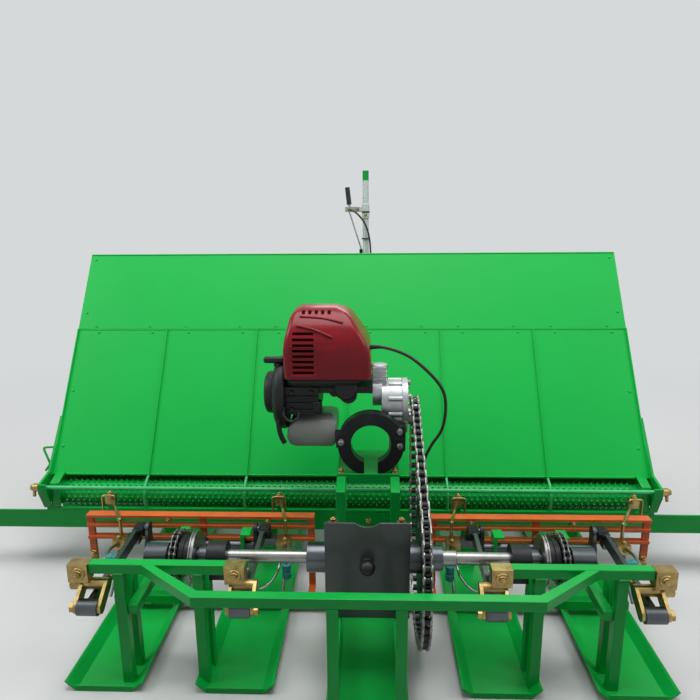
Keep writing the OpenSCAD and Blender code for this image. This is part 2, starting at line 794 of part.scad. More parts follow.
function spot(c, r, a) = c + r * [cos(a), sin(a)];

// Length along a path up to each of its points
function run_lengths(path, i = 0, done = 0) = i >= len(path) ? [] :
    let (l = i == 0 ? 0 : done + norm(path[i] - path[i - 1])) concat([l], run_lengths(path, i + 1, l));

// Points that divide a path into equal runs, without its two ends
function divide(path, n) =
    let (
        runs = run_lengths(path),
        ys = [for (i = [0:len(path) - 1]) [runs[i], path[i][0]]],
        zs = [for (i = [0:len(path) - 1]) [runs[i], path[i][1]]]
    ) [for (k = [1:n - 1]) let (s = k * runs[len(runs) - 1] / n) [lookup(s, ys), lookup(s, zs)]];

big_rollers = [for (i = [0:big_wrap]) spot(big_c, big_r, tangent_deg + i * big_step)];
small_rollers = [for (i = [small_wrap:-1:0]) spot(small_c, small_r, tangent_deg - i * small_step)];
slack_path = smooth(concat([big_rollers[big_wrap]], slack_points, [small_rollers[0]]), 6);
slack_runs = run_lengths(slack_path);
straight_n = round(norm(small_rollers[small_wrap] - big_rollers[0]) / chain_p);
held_n = big_wrap + small_wrap + straight_n;
// Inner and outer links alternate, so the loop has an even number of them
slack_n = 2 * round((slack_runs[len(slack_runs) - 1] / chain_p + held_n) / 2) - held_n;
ROLLERS = concat(
    big_rollers, divide(slack_path, slack_n), small_rollers,
    divide([small_rollers[small_wrap], big_rollers[0]], straight_n)
);

// Side plates of every second link, from the given one on
module link_plates(first) {
    for (i = [first:2:len(ROLLERS) - 1]) {
        a = ROLLERS[i];
        v = ROLLERS[(i + 1) % len(ROLLERS)] - a;
        l = norm(v);
        translate(a) rotate(atan2(v[1], v[0])) polygon([
            [-5.5, 0], [-3, 5.5], [l + 3, 5.5], [l + 5.5, 0], [l + 3, -5.5], [-3, -5.5],
        ]);
    }
}

// Roller chain: inner plates, outer plates and hexagonal pins across both
module drive_chain() {
    inner = sprocket_t / 2 + 1;
    plate = 1.5;
    color(steel) translate([chain_x, 0, 0]) rotate([90, 0, 90]) {
        for (end = [-1, 1]) {
            translate([0, 0, end * (inner + plate / 2)]) linear_extrude(plate, center = true) link_plates(0);
            translate([0, 0, end * (inner + plate * 1.5)]) linear_extrude(plate, center = true) link_plates(1);
        }
        linear_extrude(2 * (inner + 2 * plate), center = true)
            for (r = ROLLERS) translate(r) circle(r = 3.6, $fn = 6);
    }
}

// Cable from the engine to the drawbar, chosen by hand: X, Y behind the engine's crank axis, Z
CABLE_LOW = [
    [7, 5, 470], [32, 6, 468], [72, 10, 452], [110, 15, 420], [136, 18, 386],
    [142, 18, 350], [136, 18, 310], [116, 20, 275], [104, 22, 240], [102, 22, 180],
    [102, 22, 120], [102, 26, 86], [102, 50, 60], [100, 110, 48], [92, 220, 46], [62, 290, 52],
    [34, 320, 90], [24, 328, 160], [20, 328, 250], [14, 336, 312], [6, 356, 334], [4, 400, 334],
    [4, 540, 372],
];
// The rest of the cable up to the lever: X, Y from the mast, Z
CABLE_HIGH = [
    [4, -272.5, 434], [4, -72.5, 497], [4, -27.5, 530], [0, -19.5, 600], [-14, -18.5, 650],
    [-40, -17.5, 684], [-62, -12.5, 696],
];
CABLE = concat(
    [for (p = CABLE_LOW) p + [0, engine_y, 0]],
    [for (p = CABLE_HIGH) p + [0, mast_y, 0]]
);
cable_d = 6;
cable_steps = 2;

function spline(p0, p1, p2, p3, t) = 0.5 * (2 * p1 + (p2 - p0) * t
    + (2 * p0 - 5 * p1 + 4 * p2 - p3) * t * t + (3 * p1 - p0 - 3 * p2 + p3) * t * t * t);

function smooth(points, steps) = [
    for (i = [0:len(points) - 2]) for (k = [0:steps - 1])
        spline(points[max(i - 1, 0)], points[i], points[i + 1], points[min(i + 2, len(points) - 1)],
            k / steps),
    points[len(points) - 1],
];

function unit(v) = v / norm(v);

// Rings stand across the path, turned as little as the path allows
function ring_frames(path, i = 0, up = [0, 0, 1]) = i >= len(path) ? [] :
    let (
        t = unit(path[min(i + 1, len(path) - 1)] - path[max(i - 1, 0)]),
        side = unit(cross(t, up)),
        next_up = cross(side, t)
    ) concat([[side, next_up]], ring_frames(path, i + 1, next_up));

module swept_tube(points, d, sides, steps) {
    path = smooth(points, steps);
    frames = ring_frames(path);
    n = len(path);
    rings = [
        for (i = [0:n - 1]) for (k = [0:sides - 1])
            path[i] + d / 2 * (cos(k * 360 / sides) * frames[i][0] + sin(k * 360 / sides) * frames[i][1])
    ];
    walls = [
        for (i = [0:n - 2]) for (k = [0:sides - 1]) let (j = (k + 1) % sides)
            [i * sides + k, (i + 1) * sides + k, (i + 1) * sides + j, i * sides + j]
    ];
    polyhedron(rings, concat([[for (k = [0:sides - 1]) k]], walls,
        [[for (k = [sides - 1:-1:0]) (n - 1) * sides + k]]));
}

module throttle_cable() {
    color(black) swept_tube(CABLE, cable_d, 8, cable_steps);
}

shoe_x = 330;
shoe = [24, 56, 26];
// The guide tube reaches past the outer saddles at both ends of the travel
guide_half = shoe_x + shoe[0] / 2 + tray_travel + 13;

// Upper guide tube behind the tray on two uprights
module tray_guide() {
    upright_x = 250;
    color(green) {
        bar_x(-guide_half, guide_half, guide_y, guide_z, guide_d);
        for (side = [-1, 1])
            block([side * upright_x - tube_w / 2, tie_front_y, tube_top_z],
                [tube_w, tube_w, guide_z - tube_top_z]);
        block([-upright_x, tie_front_y, guide_tie_z], [2 * upright_x, tube_w, tube_w]);
    }
}

guide_tie_z = 290;
sleeve_z = 669;
sleeve_h = 46;
lever_z = 690;
lever_t = 8;
lever_x = mast_x - 53;

// Drawbar from its lug to the upright mast with the sleeve
module drawbar() {
    lug_y = tie_front_y + tube_w;
    lug_l = 18;
    color(green) {
        block([mast_x - 14, lug_y, guide_tie_z - 4], [28, lug_l, 24]);
        rod([mast_x, lug_y + lug_l - 4, guide_tie_z + 8], [mast_x, mast_y, drawbar_z], mast_d);
        translate([mast_x, mast_y, drawbar_z]) sphere(d = mast_d + 1, $fn = 32);
        translate([mast_x, mast_y, drawbar_z]) cylinder(h = mast_z - drawbar_z, d = mast_d);
        translate([mast_x, mast_y, sleeve_z]) cylinder(h = sleeve_h, d = mast_d + 5);
        block([mast_x - mast_d / 2 - 11, mast_y - lever_t / 2, lever_z], [10, lever_t, 16]);
    }
}

// Clutch lever beside the mast, with its pull rod and black grip
module hand_lever() {
    lug_x = mast_x - mast_d / 2 - 11;
    color(zinc) {
        block([lever_x - 14, mast_y - lever_t / 2, lever_z], [lug_x - lever_x + 14, lever_t, 16]);
        rod([lever_x - 1, mast_y, lever_z + 2], [mast_x - mast_d / 2 - 2.8, mast_y, lever_z - 127], 5);
        rod([lever_x, mast_y, lever_z + 10], [lever_x, mast_y, lever_z + 30], 8);
    }
    color(black) rod([lever_x, mast_y, lever_z + 25], [lever_x - 6, mast_y, lever_z + 78], 14);
}

// Tray in its own slope frame: X across, Y up the slope from the lower edge, Z out of its face
module on_tray() {
    translate([tray_shift, tray_y, tray_z]) rotate([tray_deg, 0, 0]) children();
}

seam_gap = 0.9;

module tray_upper_panel() {
    color(green) on_tray()
        block([-tray_w / 2, lower_l + seam_gap, -sheet_t], [tray_w, upper_l - seam_gap, sheet_t]);
}

module tray_lower_panel() {
    color(green) on_tray() block([-tray_w / 2, 0, -sheet_t], [tray_w, lower_l, sheet_t]);
}

// Low strips between the seedling lanes and along both edges
module tray_dividers() {
    color(green) on_tray() for (i = [0:lanes])
        block([-tray_w / 2 + i * (tray_w - sheet_t) / lanes, 0, 0], [sheet_t, lower_l, divider_h]);
}

frame_bar = 14;
// Places of the cross bars up the slope
FRAME_RUNS = [30, 296, 482];

// Cross bars behind the tray's sheets
module tray_frame() {
    color(green) on_tray() for (run = FRAME_RUNS)
        block([-tray_w / 2, run, -sheet_t - frame_bar], [tray_w, frame_bar, frame_bar]);
}

roller_y = tray_y + 5;
side_t = 5;
flange_w = 16;
flange_t = 4;
journal_d = 16;

// End plates that carry the slide bar and the roller, and the stiles between the cross bars
module tray_sides() {
    color(green) for (side = [-1, 1]) {
        translate([tray_shift + side * (tray_w / 2 + side_t / 2), 0, 0])
            rotate([90, 0, 90]) linear_extrude(side_t, center = true) difference() {
                polygon([
                    [slide_bar_y - 9, slide_bar_z - 9], [rail_y, rail_z + run_fit + runner_t],
                    [roller_y - 6, roller_z - 14], [roller_y + 16, roller_z - 6],
                    [tray_y + 70, tray_z + 70 * tan(tray_deg) - 25], [tray_y + 70, tray_z + 70 * tan(tray_deg)],
                    [tray_y - 4, tray_z + 10], [slide_bar_y - 9, slide_bar_z + 9],
                ]);
                translate([roller_y, roller_z]) circle(d = journal_d + 2 * seat_fit);
                translate([slide_bar_y, slide_bar_z]) circle(d = slide_bar_d + 2 * seat_fit);
            }
        flange_x = tray_w / 2 + side_t - flange_w / 2;
        translate([tray_shift + side * flange_x, 0, 0])
            rotate([90, 0, 90]) linear_extrude(flange_w, center = true) polygon([
                [slide_bar_y - 9, slide_bar_z - 9], [rail_y, rail_z + run_fit + runner_t],
                [rail_y + flange_t, rail_z + run_fit + runner_t],
                [slide_bar_y - 9 + flange_t, slide_bar_z - 9],
                [slide_bar_y - 9 + flange_t, slide_bar_z + 9], [slide_bar_y - 9, slide_bar_z + 9],
            ]);
        on_tray() for (k = [0, 1])
            block([side > 0 ? tray_w / 2 - frame_bar : -tray_w / 2, FRAME_RUNS[k] + frame_bar,
                -sheet_t - frame_bar], [frame_bar, FRAME_RUNS[k + 1] - FRAME_RUNS[k] - frame_bar, frame_bar]);
    }
}

runner_t = 5;
runner_w = 7;
loop_r = 38;
loop_d = 5;
// The lane rods run from the sheet's edge around the roller down to the runner
loop_start_deg = 101.5;
loop_end_deg = 205.5;

// Bright runner on the rail's edge, hooked over it
module tray_runner() {
    color(green) translate([tray_shift, 0, 0]) {
        block([-tray_w / 2, rail_y, rail_z + run_fit], [tray_w, runner_w, runner_t]);
        block([-tray_w / 2, rail_y + rail_t + run_fit, rail_z - 10], [tray_w, runner_w - rail_t - run_fit, 12]);
    }
}

// Curved rods that close the lanes around the roller
module lane_rods() {
    color(green) translate([tray_shift, roller_y, roller_z]) for (i = [1:lanes - 1])
        translate([-tray_w / 2 + i * tray_w / lanes, 0, 0])
            rotate([90, 0, 90]) rotate(loop_start_deg)
                rotate_extrude(angle = loop_end_deg - loop_start_deg)
                    translate([loop_r, 0]) circle(d = loop_d);
}

// Saddles under the tray that ride on the guide tube
module tray_shoes() {
    color(green) for (x = [-shoe_x, 0, shoe_x])
        on_tray() difference() {
            block([x - shoe[0] / 2, guide_s - shoe[1] / 2, -sheet_t - shoe[2]], shoe);
            bar_x(x - 20, x + 20, guide_s, -guide_off, guide_d + 2 * run_fit);
        }
}

// Thin bar beyond both end plates, with a bushing at each end
module slide_bar() {
    plate_x = tray_w / 2 + side_t;
    color(green) bar_x(tray_shift - plate_x - 15, tray_shift + plate_x + 15, slide_bar_y, slide_bar_z,
        slide_bar_d);
    color(zinc) for (side = [-1, 1])
        translate([tray_shift, 0, 0]) side_bar(side, plate_x + run_fit, plate_x + 12, slide_bar_y,
            slide_bar_z, 16);
}

// Spiked roller under the lower edge, turning in the end plates
module feed_roller() {
    color(dark_green) translate([tray_shift, roller_y, roller_z]) rotate([0, 90, 0]) {
        linear_extrude(tray_w - 30, center = true) polygon([
            for (i = [0:23]) for (p = [[-0.35, roller_r], [0, roller_r + spike_h], [0.35, roller_r]])
                let (a = (i + p[0]) * 15) [p[1] * cos(a), p[1] * sin(a)]
        ]);
        cylinder(h = tray_w + 2 * side_t, d = journal_d, center = true);
    }
}

for (f = FLOATS)
    one_float(f[1], f[2]);
cross_tubes();
planter_bar();
beams();
planter_posts();
centre_posts();
gearbox_bearers();
gearbox();
cross_shaft(-1, SHAFT_STEPS_LEFT);  // cross_shaft_left
cross_shaft(1, SHAFT_STEPS_RIGHT);  // cross_shaft_right
bearing_housings();
timing_drive(-1);  // timing_drive_left
timing_drive(1);  // timing_drive_right
crank_shafts();
crank_brackets();
for (a = ARMS) {
    planting_arm(a[1], a[2], a[3]);
    rocker(a[1], a[2], a[3]);
}
bar_guides();
fence(-1, fence_left_x0, clamp_out_x + 14);  // fence_left
fence(1, fence_right_x0, clamp_out_x + 1);  // fence_right
rail();
rail_brackets();
engine_stand();
mount_ring();
engine_block();
engine_cover();
recoil_starter();
fuel_tank();
clutch_housing();
drive_sprocket();
engine_sprocket();
drive_chain();
throttle_cable();
tray_guide();
drawbar();
hand_lever();
tray_upper_panel();
tray_lower_panel();
tray_dividers();
tray_frame();
tray_sides();
tray_runner();
lane_rods();
tray_shoes();
slide_bar();
feed_roller();
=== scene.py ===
"""Looks of a walk behind rice transplanter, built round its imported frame."""

import json
import logging
import math
from collections.abc import Callable
from dataclasses import dataclass
from enum import Enum

import bpy
from mathutils import Matrix, Vector

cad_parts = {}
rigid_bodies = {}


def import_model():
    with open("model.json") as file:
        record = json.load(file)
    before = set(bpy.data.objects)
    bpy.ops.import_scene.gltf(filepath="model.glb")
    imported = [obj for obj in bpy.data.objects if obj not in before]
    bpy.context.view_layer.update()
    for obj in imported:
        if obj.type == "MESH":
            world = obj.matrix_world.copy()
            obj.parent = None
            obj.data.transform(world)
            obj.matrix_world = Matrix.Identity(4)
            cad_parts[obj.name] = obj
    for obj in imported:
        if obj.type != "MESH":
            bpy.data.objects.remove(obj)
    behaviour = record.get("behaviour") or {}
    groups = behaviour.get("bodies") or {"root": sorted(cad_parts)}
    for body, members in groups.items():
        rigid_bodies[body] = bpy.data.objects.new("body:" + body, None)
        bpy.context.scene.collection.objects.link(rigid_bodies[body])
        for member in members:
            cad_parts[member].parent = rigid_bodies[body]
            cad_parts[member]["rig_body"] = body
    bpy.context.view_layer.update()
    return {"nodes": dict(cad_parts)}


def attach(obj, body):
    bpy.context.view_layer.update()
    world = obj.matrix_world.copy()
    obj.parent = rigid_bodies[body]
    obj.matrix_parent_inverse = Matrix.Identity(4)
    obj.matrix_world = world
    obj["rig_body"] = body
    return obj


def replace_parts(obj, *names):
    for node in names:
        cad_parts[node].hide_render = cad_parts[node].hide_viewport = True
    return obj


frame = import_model()
LOG = logging.getLogger("transplanter")
Piece = bpy.types.Object
Socket = bpy.types.NodeSocket
Tree = bpy.types.NodeTree
Point = tuple[float, float, float]
Box = tuple[Point, Point]
Profile = list[tuple[float, float]]
# One millimetre in the scene's metres
MM = 0.001
# Left and right
SIDES = (-1, 1)
# Turns a piece round, so that its Z axis points the other way
FLIP = Matrix.Rotation(math.pi, 4, "X")
# Y and Z of the cross shaft, in mm
SHAFT = (-549.0, 185.0)
# X of the slide bar's clamps
CLAMPS = (-499.0, -170.0, 170.0, 499.0)
# X of each planting arm and of its claw
ARMS = {
    "outer_left": (-405, -442), "inner_left": (-183, -146), "inner_right": (183, 146),
    "outer_right": (405, 442),
}
# Edges shallower than this are shaded smooth
SMOOTH_DEG = 32.0
WIRE_SMOOTH_DEG = 50.0
# Points of a new mesh and of a CAD mesh that lie closer than this are one
MERGE_MM = 0.02
CAD_MERGE_MM = 0.004
# Neighbouring CAD faces with less than this between them are one flat face
FLAT_DEG = 0.6
# Edges sharper than these are rounded, on CAD copies and on mouldings
EDGE_DEG = 40
MOULD_DEG = 24


class Body(Enum):
    """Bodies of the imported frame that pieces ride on."""

    FRAME = "frame"
    TRAY = "tray"
    ROLLER = "roller"


class Slot(Enum):
    """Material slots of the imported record."""

    GREEN = "green_paint"
    ZINC = "zinc_plate"
    STEEL = "bright_steel"
    DARK = "dark_cast"
    BLACK = "black_plastic"
    RED = "red_cover"
    TANK = "tank_plastic"
    CAST = "cast_aluminium"
    ORANGE = "orange_paint"
    CHAIN = "chain_steel"


class Axis(Enum):
    """Direction in which a turned or round piece lies."""

    X = "X"
    Y = "Y"
    Z = "Z"

    def turn(self) -> Matrix:
        """Rotation that lays the Z axis along this one."""
        turns = {
            Axis.X: Matrix.Rotation(math.pi / 2, 4, "Y"),
            Axis.Y: Matrix.Rotation(-math.pi / 2, 4, "X"), Axis.Z: Matrix.Identity(4),
        }
        return turns[self]


def linear(colour: str) -> tuple[float, float, float, float]:
    """Turns an sRGB hex colour to linear light.

    Args:
        colour: The colour as #RRGGBB.

    Returns:
        Red, green, blue and a full alpha, as a shader socket takes them.
    """
    parts = (int(colour[i : i + 2], 16) / 255 for i in (1, 3, 5))
    red, green, blue = (p / 12.92 if p <= 0.04045 else ((p + 0.055) / 1.055) ** 2.4 for p in parts)
    return red, green, blue, 1.0


def add_node(
    tree: Tree, kind: str, inputs: dict | None = None, **settings: object,
) -> bpy.types.Node:
    """Adds a shader node with its settings, values and links.

    Args:
        tree: The material's node tree.
        kind: The node's class name after ShaderNode.
        inputs: A value or another node's socket for its input sockets, by name or number.
        settings: Properties of the node itself.

    Returns:
        The new node.
    """
    made = tree.nodes.new("ShaderNode" + kind)
    for name, value in settings.items():
        setattr(made, name, value)
    for name, value in (inputs or {}).items():
        if isinstance(value, Socket):
            tree.links.new(value, made.inputs[name])
        else:
            made.inputs[name].default_value = value
    return made


def noise(tree: Tree, place: Socket, scale: float, detail: float, rough: float = 0.5) -> Socket:
    """A noise pattern with so many spots a metre."""
    inputs = {"Vector": place, "Scale": scale, "Detail": detail, "Roughness": rough}
    return add_node(tree, "TexNoise", inputs).outputs["Fac"]


def span(
    tree: Tree, value: Socket, low: float, high: float, first: float = 0.0, last: float = 1.0,
    **settings: object,
) -> Socket:
    """Runs from low to high while a value runs from first to last."""
    inputs = {"Value": value, "From Min": first, "From Max": last, "To Min": low, "To Max": high}
    return add_node(tree, "MapRange", inputs, **settings).outputs["Result"]


def product(tree: Tree, one: Socket, other: Socket) -> Socket:
    """The product of two values."""
    return add_node(tree, "Math", {0: one, 1: other}, operation="MULTIPLY").outputs[0]


def blend(tree: Tree, share: Socket, clear: object, full: object) -> Socket:
    """One colour where a share is 0, running to another where it is 1."""
    inputs = {0: share, 6: clear, 7: full}
    return add_node(tree, "Mix", inputs, data_type="RGBA").outputs[2]


def new_material(name: str) -> bpy.types.Material:
    """A material with an empty node tree."""
    made = bpy.data.materials.new(name)
    made.use_nodes = True
    made.node_tree.nodes.clear()
    return made


@dataclass(frozen=True)
class Finish:
    """A surface finish: its colours, its gloss and its relief, all at their real scale.

    Attributes:
        name: The finish, as its maker would call it.
        colour: The clean surface, sRGB hex.
        shade: Its darker or dustier patches, sRGB hex.
        patch_mm: How wide those patches are.
        patch_share: How much of the shade shows, from 0 to 1.
        grain_mm: Spacing of the relief.
        relief_mm: Height of the relief.
        gloss: Roughness of the clean surface.
        dull: Roughness in the patches.
        metallic: 1 for bare metal.
        coat: Weight of a clear coat.
        along: How much longer the grain is along each axis, for brushed and turned metal.
        dust: Share of pale dust on faces that look up.
        ior: Index of refraction, for what isn't metal.
    """

    name: str
    colour: str
    shade: str
    patch_mm: float = 60.0
    patch_share: float = 0.5
    grain_mm: float = 2.0
    relief_mm: float = 0.02
    gloss: float = 0.35
    dull: float = 0.5
    metallic: float = 0.0
    coat: float = 0.0
    along: Point = (1.0, 1.0, 1.0)
    dust: float = 0.0
    ior: float = 1.5

    def material(self) -> bpy.types.Material:
        """The finish as a material, made once."""
        return bpy.data.materials.get(self.name) or self._make()

    def _make(self) -> bpy.types.Material:
        """Builds the node tree.

        Returns:
            The new material.
        """
        made = new_material(self.name)
        tree = made.node_tree
        place = add_node(tree, "TexCoord").outputs["Object"]
        scale = tuple(1 / a for a in self.along)
        stretched = add_node(tree, "Mapping", {"Scale": scale, "Vector": place}).outputs["Vector"]
        patches = noise(tree, place, 1 / (self.patch_mm * MM), 4.0, 0.6)
        share = span(tree, patches, 0.0, self.patch_share, 0.35, 0.75)
        grain = noise(tree, stretched, 1 / (self.grain_mm * MM), 3.0, 0.55)
        painted = blend(tree, share, linear(self.colour), linear(self.shade))
        if self.dust:
            painted = self._dusted(tree, painted, patches)
        relief = {"Distance": self.relief_mm * MM, "Strength": 1.0, "Height": grain}
        inputs = {
            "Base Color": painted, "Roughness": span(tree, share, self.gloss, self.dull),
            "Normal": add_node(tree, "Bump", relief).outputs["Normal"], "Metallic": self.metallic,
            "Coat Weight": self.coat, "Coat Roughness": 0.08,
        }
        if not self.metallic:
            inputs["IOR"] = self.ior
        shader = add_node(tree, "BsdfPrincipled", inputs)
        add_node(tree, "OutputMaterial", {"Surface": shader.outputs["BSDF"]})
        return made

    def _dusted(self, tree: Tree, painted: Socket, spread: Socket) -> Socket:
        """Lays pale dust on faces that look up.

        Args:
            tree: The material's node tree.
            painted: The colour under the dust.
            spread: A noise that breaks the dust up.

        Returns:
            The colour with its dust.
        """
        normal = add_node(tree, "NewGeometry").outputs["Normal"]
        height = add_node(tree, "SeparateXYZ", {"Vector": normal}).outputs["Z"]
        amount = product(tree, span(tree, height, 0.0, self.dust, 0.7), spread)
        return blend(tree, amount, painted, linear(DUST_COLOUR))


# Dried field dust, pale and a little green
DUST_COLOUR = "#8F9A84"
# Glossy enamel sprayed on welded steel: a slight orange peel and a sharp sheen
GREEN_ENAMEL = Finish(
    "sprayed_green_enamel", "#05AE45", "#04923A", 160, 0.45, 5.0, 0.05, 0.32, 0.42, ior=1.36,
)
# The same enamel on the tray's large sheets, where the peel is flatter and the sheen wider
GREEN_SHEET = Finish(
    "enamelled_green_sheet", "#02BE4A", "#03AA43", 260, 0.4, 7.0, 0.04, 0.42, 0.5, ior=1.33,
)
# The enamel on the floats' bent sheet, scuffed, with a little dust on what looks up
GREEN_FLOAT = Finish(
    "scuffed_green_enamel", "#05B548", "#08923A", 90, 0.55, 4.0, 0.05, 0.28, 0.42, dust=0.05,
    ior=1.34,
)
# White enamel on the mast, with a breath of green from the overspray
WHITE_ENAMEL = Finish(
    "oversprayed_white_enamel", "#E2EFE6", "#BFD3C6", 50, 0.5, 4.0, 0.04, 0.32, 0.45, ior=1.4,
)
# Orange enamel sprayed on bar stock, with a dull dry edge where it went on thin
ORANGE_ENAMEL = Finish(
    "sprayed_orange_enamel", "#E2662F", "#B04A1E", 40, 0.5, 4.0, 0.05, 0.36, 0.5,
)
# Yellow zinc plating on mild steel: a brassy film that drifts to rose and olive
YELLOW_ZINC = Finish(
    "yellow_passivated_zinc", "#B39C66", "#735D34", 14, 0.8, 0.6, 0.01, 0.3, 0.48, 1.0,
)
# Bright bar steel, drawn and lightly oiled: fine lines along the bar
DRAWN_STEEL = Finish(
    "drawn_bright_steel", "#9C9A98", "#6B6A6A", 30, 0.6, 0.5, 0.008, 0.26, 0.42, 1.0,
    along=(8, 1, 1),
)
# Turned steel with an oil film: darker than the drawn shafts, one sharp line of light on top
OILED_STEEL = Finish(
    "oiled_turned_steel", "#606468", "#43464A", 24, 0.55, 0.8, 0.006, 0.28, 0.42, 1.0,
)
# Green enamel painted pale all over: a painted highlight that stands in for the sheen on the thin
# slide bar and the lane rods
PALE_GREEN_PAINTED_HIGHLIGHT = Finish(
    "pale_green_enamel_painted_highlight", "#4FD287", "#12A04A", 40, 0.5, 1.5, 0.01, 0.24, 0.36, ior=1.4,
)
# Grey enamel on flame-cut plate: nearly matt, with a coarse skin
GREY_CASE = Finish(
    "grey_enamelled_plate", "#3F4746", "#2C3231", 45, 0.6, 2.4, 0.05, 0.38, 0.55, coat=0.1,
)
# Blackened steel and grey iron: oily, rough and dark
BLACK_STEEL = Finish(
    "oiled_black_steel", "#2B2C2E", "#17181A", 18, 0.7, 1.0, 0.03, 0.36, 0.55, 0.6,
)
# Glass-filled nylon moulding: an even fine spark finish
BLACK_NYLON = Finish(
    "moulded_black_nylon", "#141516", "#0B0C0D", 40, 0.5, 0.9, 0.02, 0.42, 0.52, ior=1.4,
)
# Rubber sleeve: soft, dull and slightly bloomed
GRIP_RUBBER = Finish("bloomed_black_rubber", "#1D1D1E", "#2E2E30", 20, 0.5, 0.8, 0.03, 0.6, 0.75)
# Red lacquer sprayed over moulded ABS, under a thin clear coat
RED_HOOD = Finish(
    "lacquered_red_abs", "#93091A", "#5E0512", 60, 0.5, 1.2, 0.008, 0.24, 0.32, coat=0.1, ior=1.34,
)
# Natural polyethylene, blow moulded: milky grey with a waxy skin
TANK_POLY = Finish(
    "blow_moulded_polyethylene", "#A3A6A1", "#868B86", 50, 0.5, 3.0, 0.05, 0.3, 0.42, ior=1.45,
)
# Sand-cast and shot-blasted aluminium: pale and grainy
CAST_ALUMINIUM = Finish(
    "blasted_cast_aluminium", "#B4B7B8", "#8B8E90", 16, 0.6, 0.8, 0.04, 0.42, 0.58, 1.0,
)
# Chain steel, blued and oiled, with bright rubbed edges
CHAIN_STEEL = Finish("oiled_chain_steel", "#8C8C88", "#4A4743", 9, 0.8, 0.8, 0.02, 0.28, 0.5, 1.0)
# Cast urethane bush, blue green and slightly waxy
TEAL_BUSH = Finish("cast_teal_urethane", "#2C8A8C", "#1E6A70", 12, 0.4, 1.0, 0.02, 0.38, 0.5)
# Weld bead on mild steel under the green enamel: rippled, with the paint pooled between
WELD_BEAD = Finish(
    "painted_weld_bead", "#059A3E", "#037A31", 6, 0.5, 1.6, 0.12, 0.3, 0.42, coat=0.2,
)
# The drum's spikes: struck points whose paint has rubbed thin at the tips
SPIKE_EDGE = Finish(
    "rubbed_green_spike", "#19B857", "#067A31", 9, 0.7, 1.0, 0.03, 0.2, 0.4, coat=0.3,
)
# Extruded vinyl sleeve over a steel cable, brown black with a soft sheen
CABLE_SLEEVE = Finish("extruded_vinyl_sleeve", "#2A221D", "#17130F", 40, 0.5, 1.2, 0.02, 0.4, 0.55)
# Pale matt floor, the tone that it throws back on the machine, the backdrop and the light round
# it all
FLOOR_COLOUR = "#D8D9D9"
FLOOR_BOUNCE = "#66686A"
BACKDROP_COLOUR = "#D6D9DA"
SURROUND_COLOUR = "#F4F6F8"


def enter(obj: Piece) -> None:
    """Puts an object in the scene."""
    bpy.context.scene.collection.objects.link(obj)


def clear_selection() -> None:
    """Leaves edit mode with nothing selected."""
    if bpy.context.mode != "OBJECT":
        bpy.ops.object.mode_set(mode="OBJECT")
    bpy.ops.object.select_all(action="DESELECT")


def pick(*objs: Piece) -> None:
    """Selects these objects alone and makes the first one active."""
    clear_selection()
    for obj in objs:
        obj.select_set(True)
    bpy.context.view_layer.objects.active = objs[0]


def open_mesh() -> None:
    """Enters edit mode, unless it is on, with every point selected."""
    if bpy.context.mode == "OBJECT":
        bpy.ops.object.mode_set(mode="EDIT")
    bpy.ops.mesh.select_all(action="SELECT")


def close_mesh() -> None:
    """Turns all faces outwards and leaves edit mode."""
    bpy.ops.mesh.select_all(action="SELECT")
    bpy.ops.mesh.normals_make_consistent(inside=False)
    bpy.ops.object.mode_set(mode="OBJECT")


def round_edges(
    obj: Piece, round_mm: float, segments: int, least_deg: float, harden: bool = False,
) -> None:
    """Rounds the active piece's edges.

    Args:
        obj: The piece.
        round_mm: Radius of the edges.
        segments: Faces across each edge.
        least_deg: Edges shallower than this stay as they are.
        harden: Whether the faces between them stay flat in the shading.
    """
    edge = obj.modifiers.new("edge", "BEVEL")
    edge.width = round_mm * MM
    edge.segments = segments
    edge.limit_method = "ANGLE"
    edge.angle_limit = math.radians(least_deg)
    edge.use_clamp_overlap = True
    edge.harden_normals = harden
    bpy.ops.object.modifier_apply(modifier="edge")


def settle(obj: Piece, smooth_deg: float = SMOOTH_DEG) -> Piece:
    """Applies an object's place to its mesh and smooths its shallow edges.

    Args:
        obj: The mesh object.
        smooth_deg: Edges shallower than this are shaded smooth.

    Returns:
        The same object.
    """
    pick(obj)
    bpy.ops.object.transform_apply()
    bpy.ops.object.shade_smooth_by_angle(angle=math.radians(smooth_deg))
    return obj


def turned(
    name: str, profile: Profile, steps: int, spot: Point = (0, 0, 0), axis: Axis = Axis.Z,
) -> Piece:
    """Turns a profile round an axis, as on a lathe.

    Args:
        name: The piece's name.
        profile: Radius and distance along the axis for each point, in mm.
        steps: Faces round the piece.
        spot: Where the axis starts, in mm.
        axis: Direction of the axis.

    Returns:
        The turned piece.
    """
    clear_selection()
    bpy.ops.mesh.primitive_plane_add(size=MM)
    obj = bpy.context.object
    obj.name = name
    bpy.ops.object.mode_set(mode="EDIT")
    bpy.ops.mesh.merge(type="CENTER")
    start = Vector((profile[0][0], 0, profile[0][1])) * MM
    bpy.ops.transform.translate(value=start)
    for last, point in zip(profile, profile[1:]):
        step = Vector((point[0] - last[0], 0, point[1] - last[1])) * MM
        bpy.ops.mesh.extrude_vertices_move(TRANSFORM_OT_translate={"value": step})
    open_mesh()
    bpy.ops.mesh.spin(steps=steps, angle=math.tau, center=(0, 0, 0), axis=(0, 0, 1))
    open_mesh()
    bpy.ops.mesh.remove_doubles(threshold=MERGE_MM * MM)
    close_mesh()
    obj.matrix_world = Matrix.Translation(Vector(spot) * MM) @ axis.turn()
    return settle(obj)


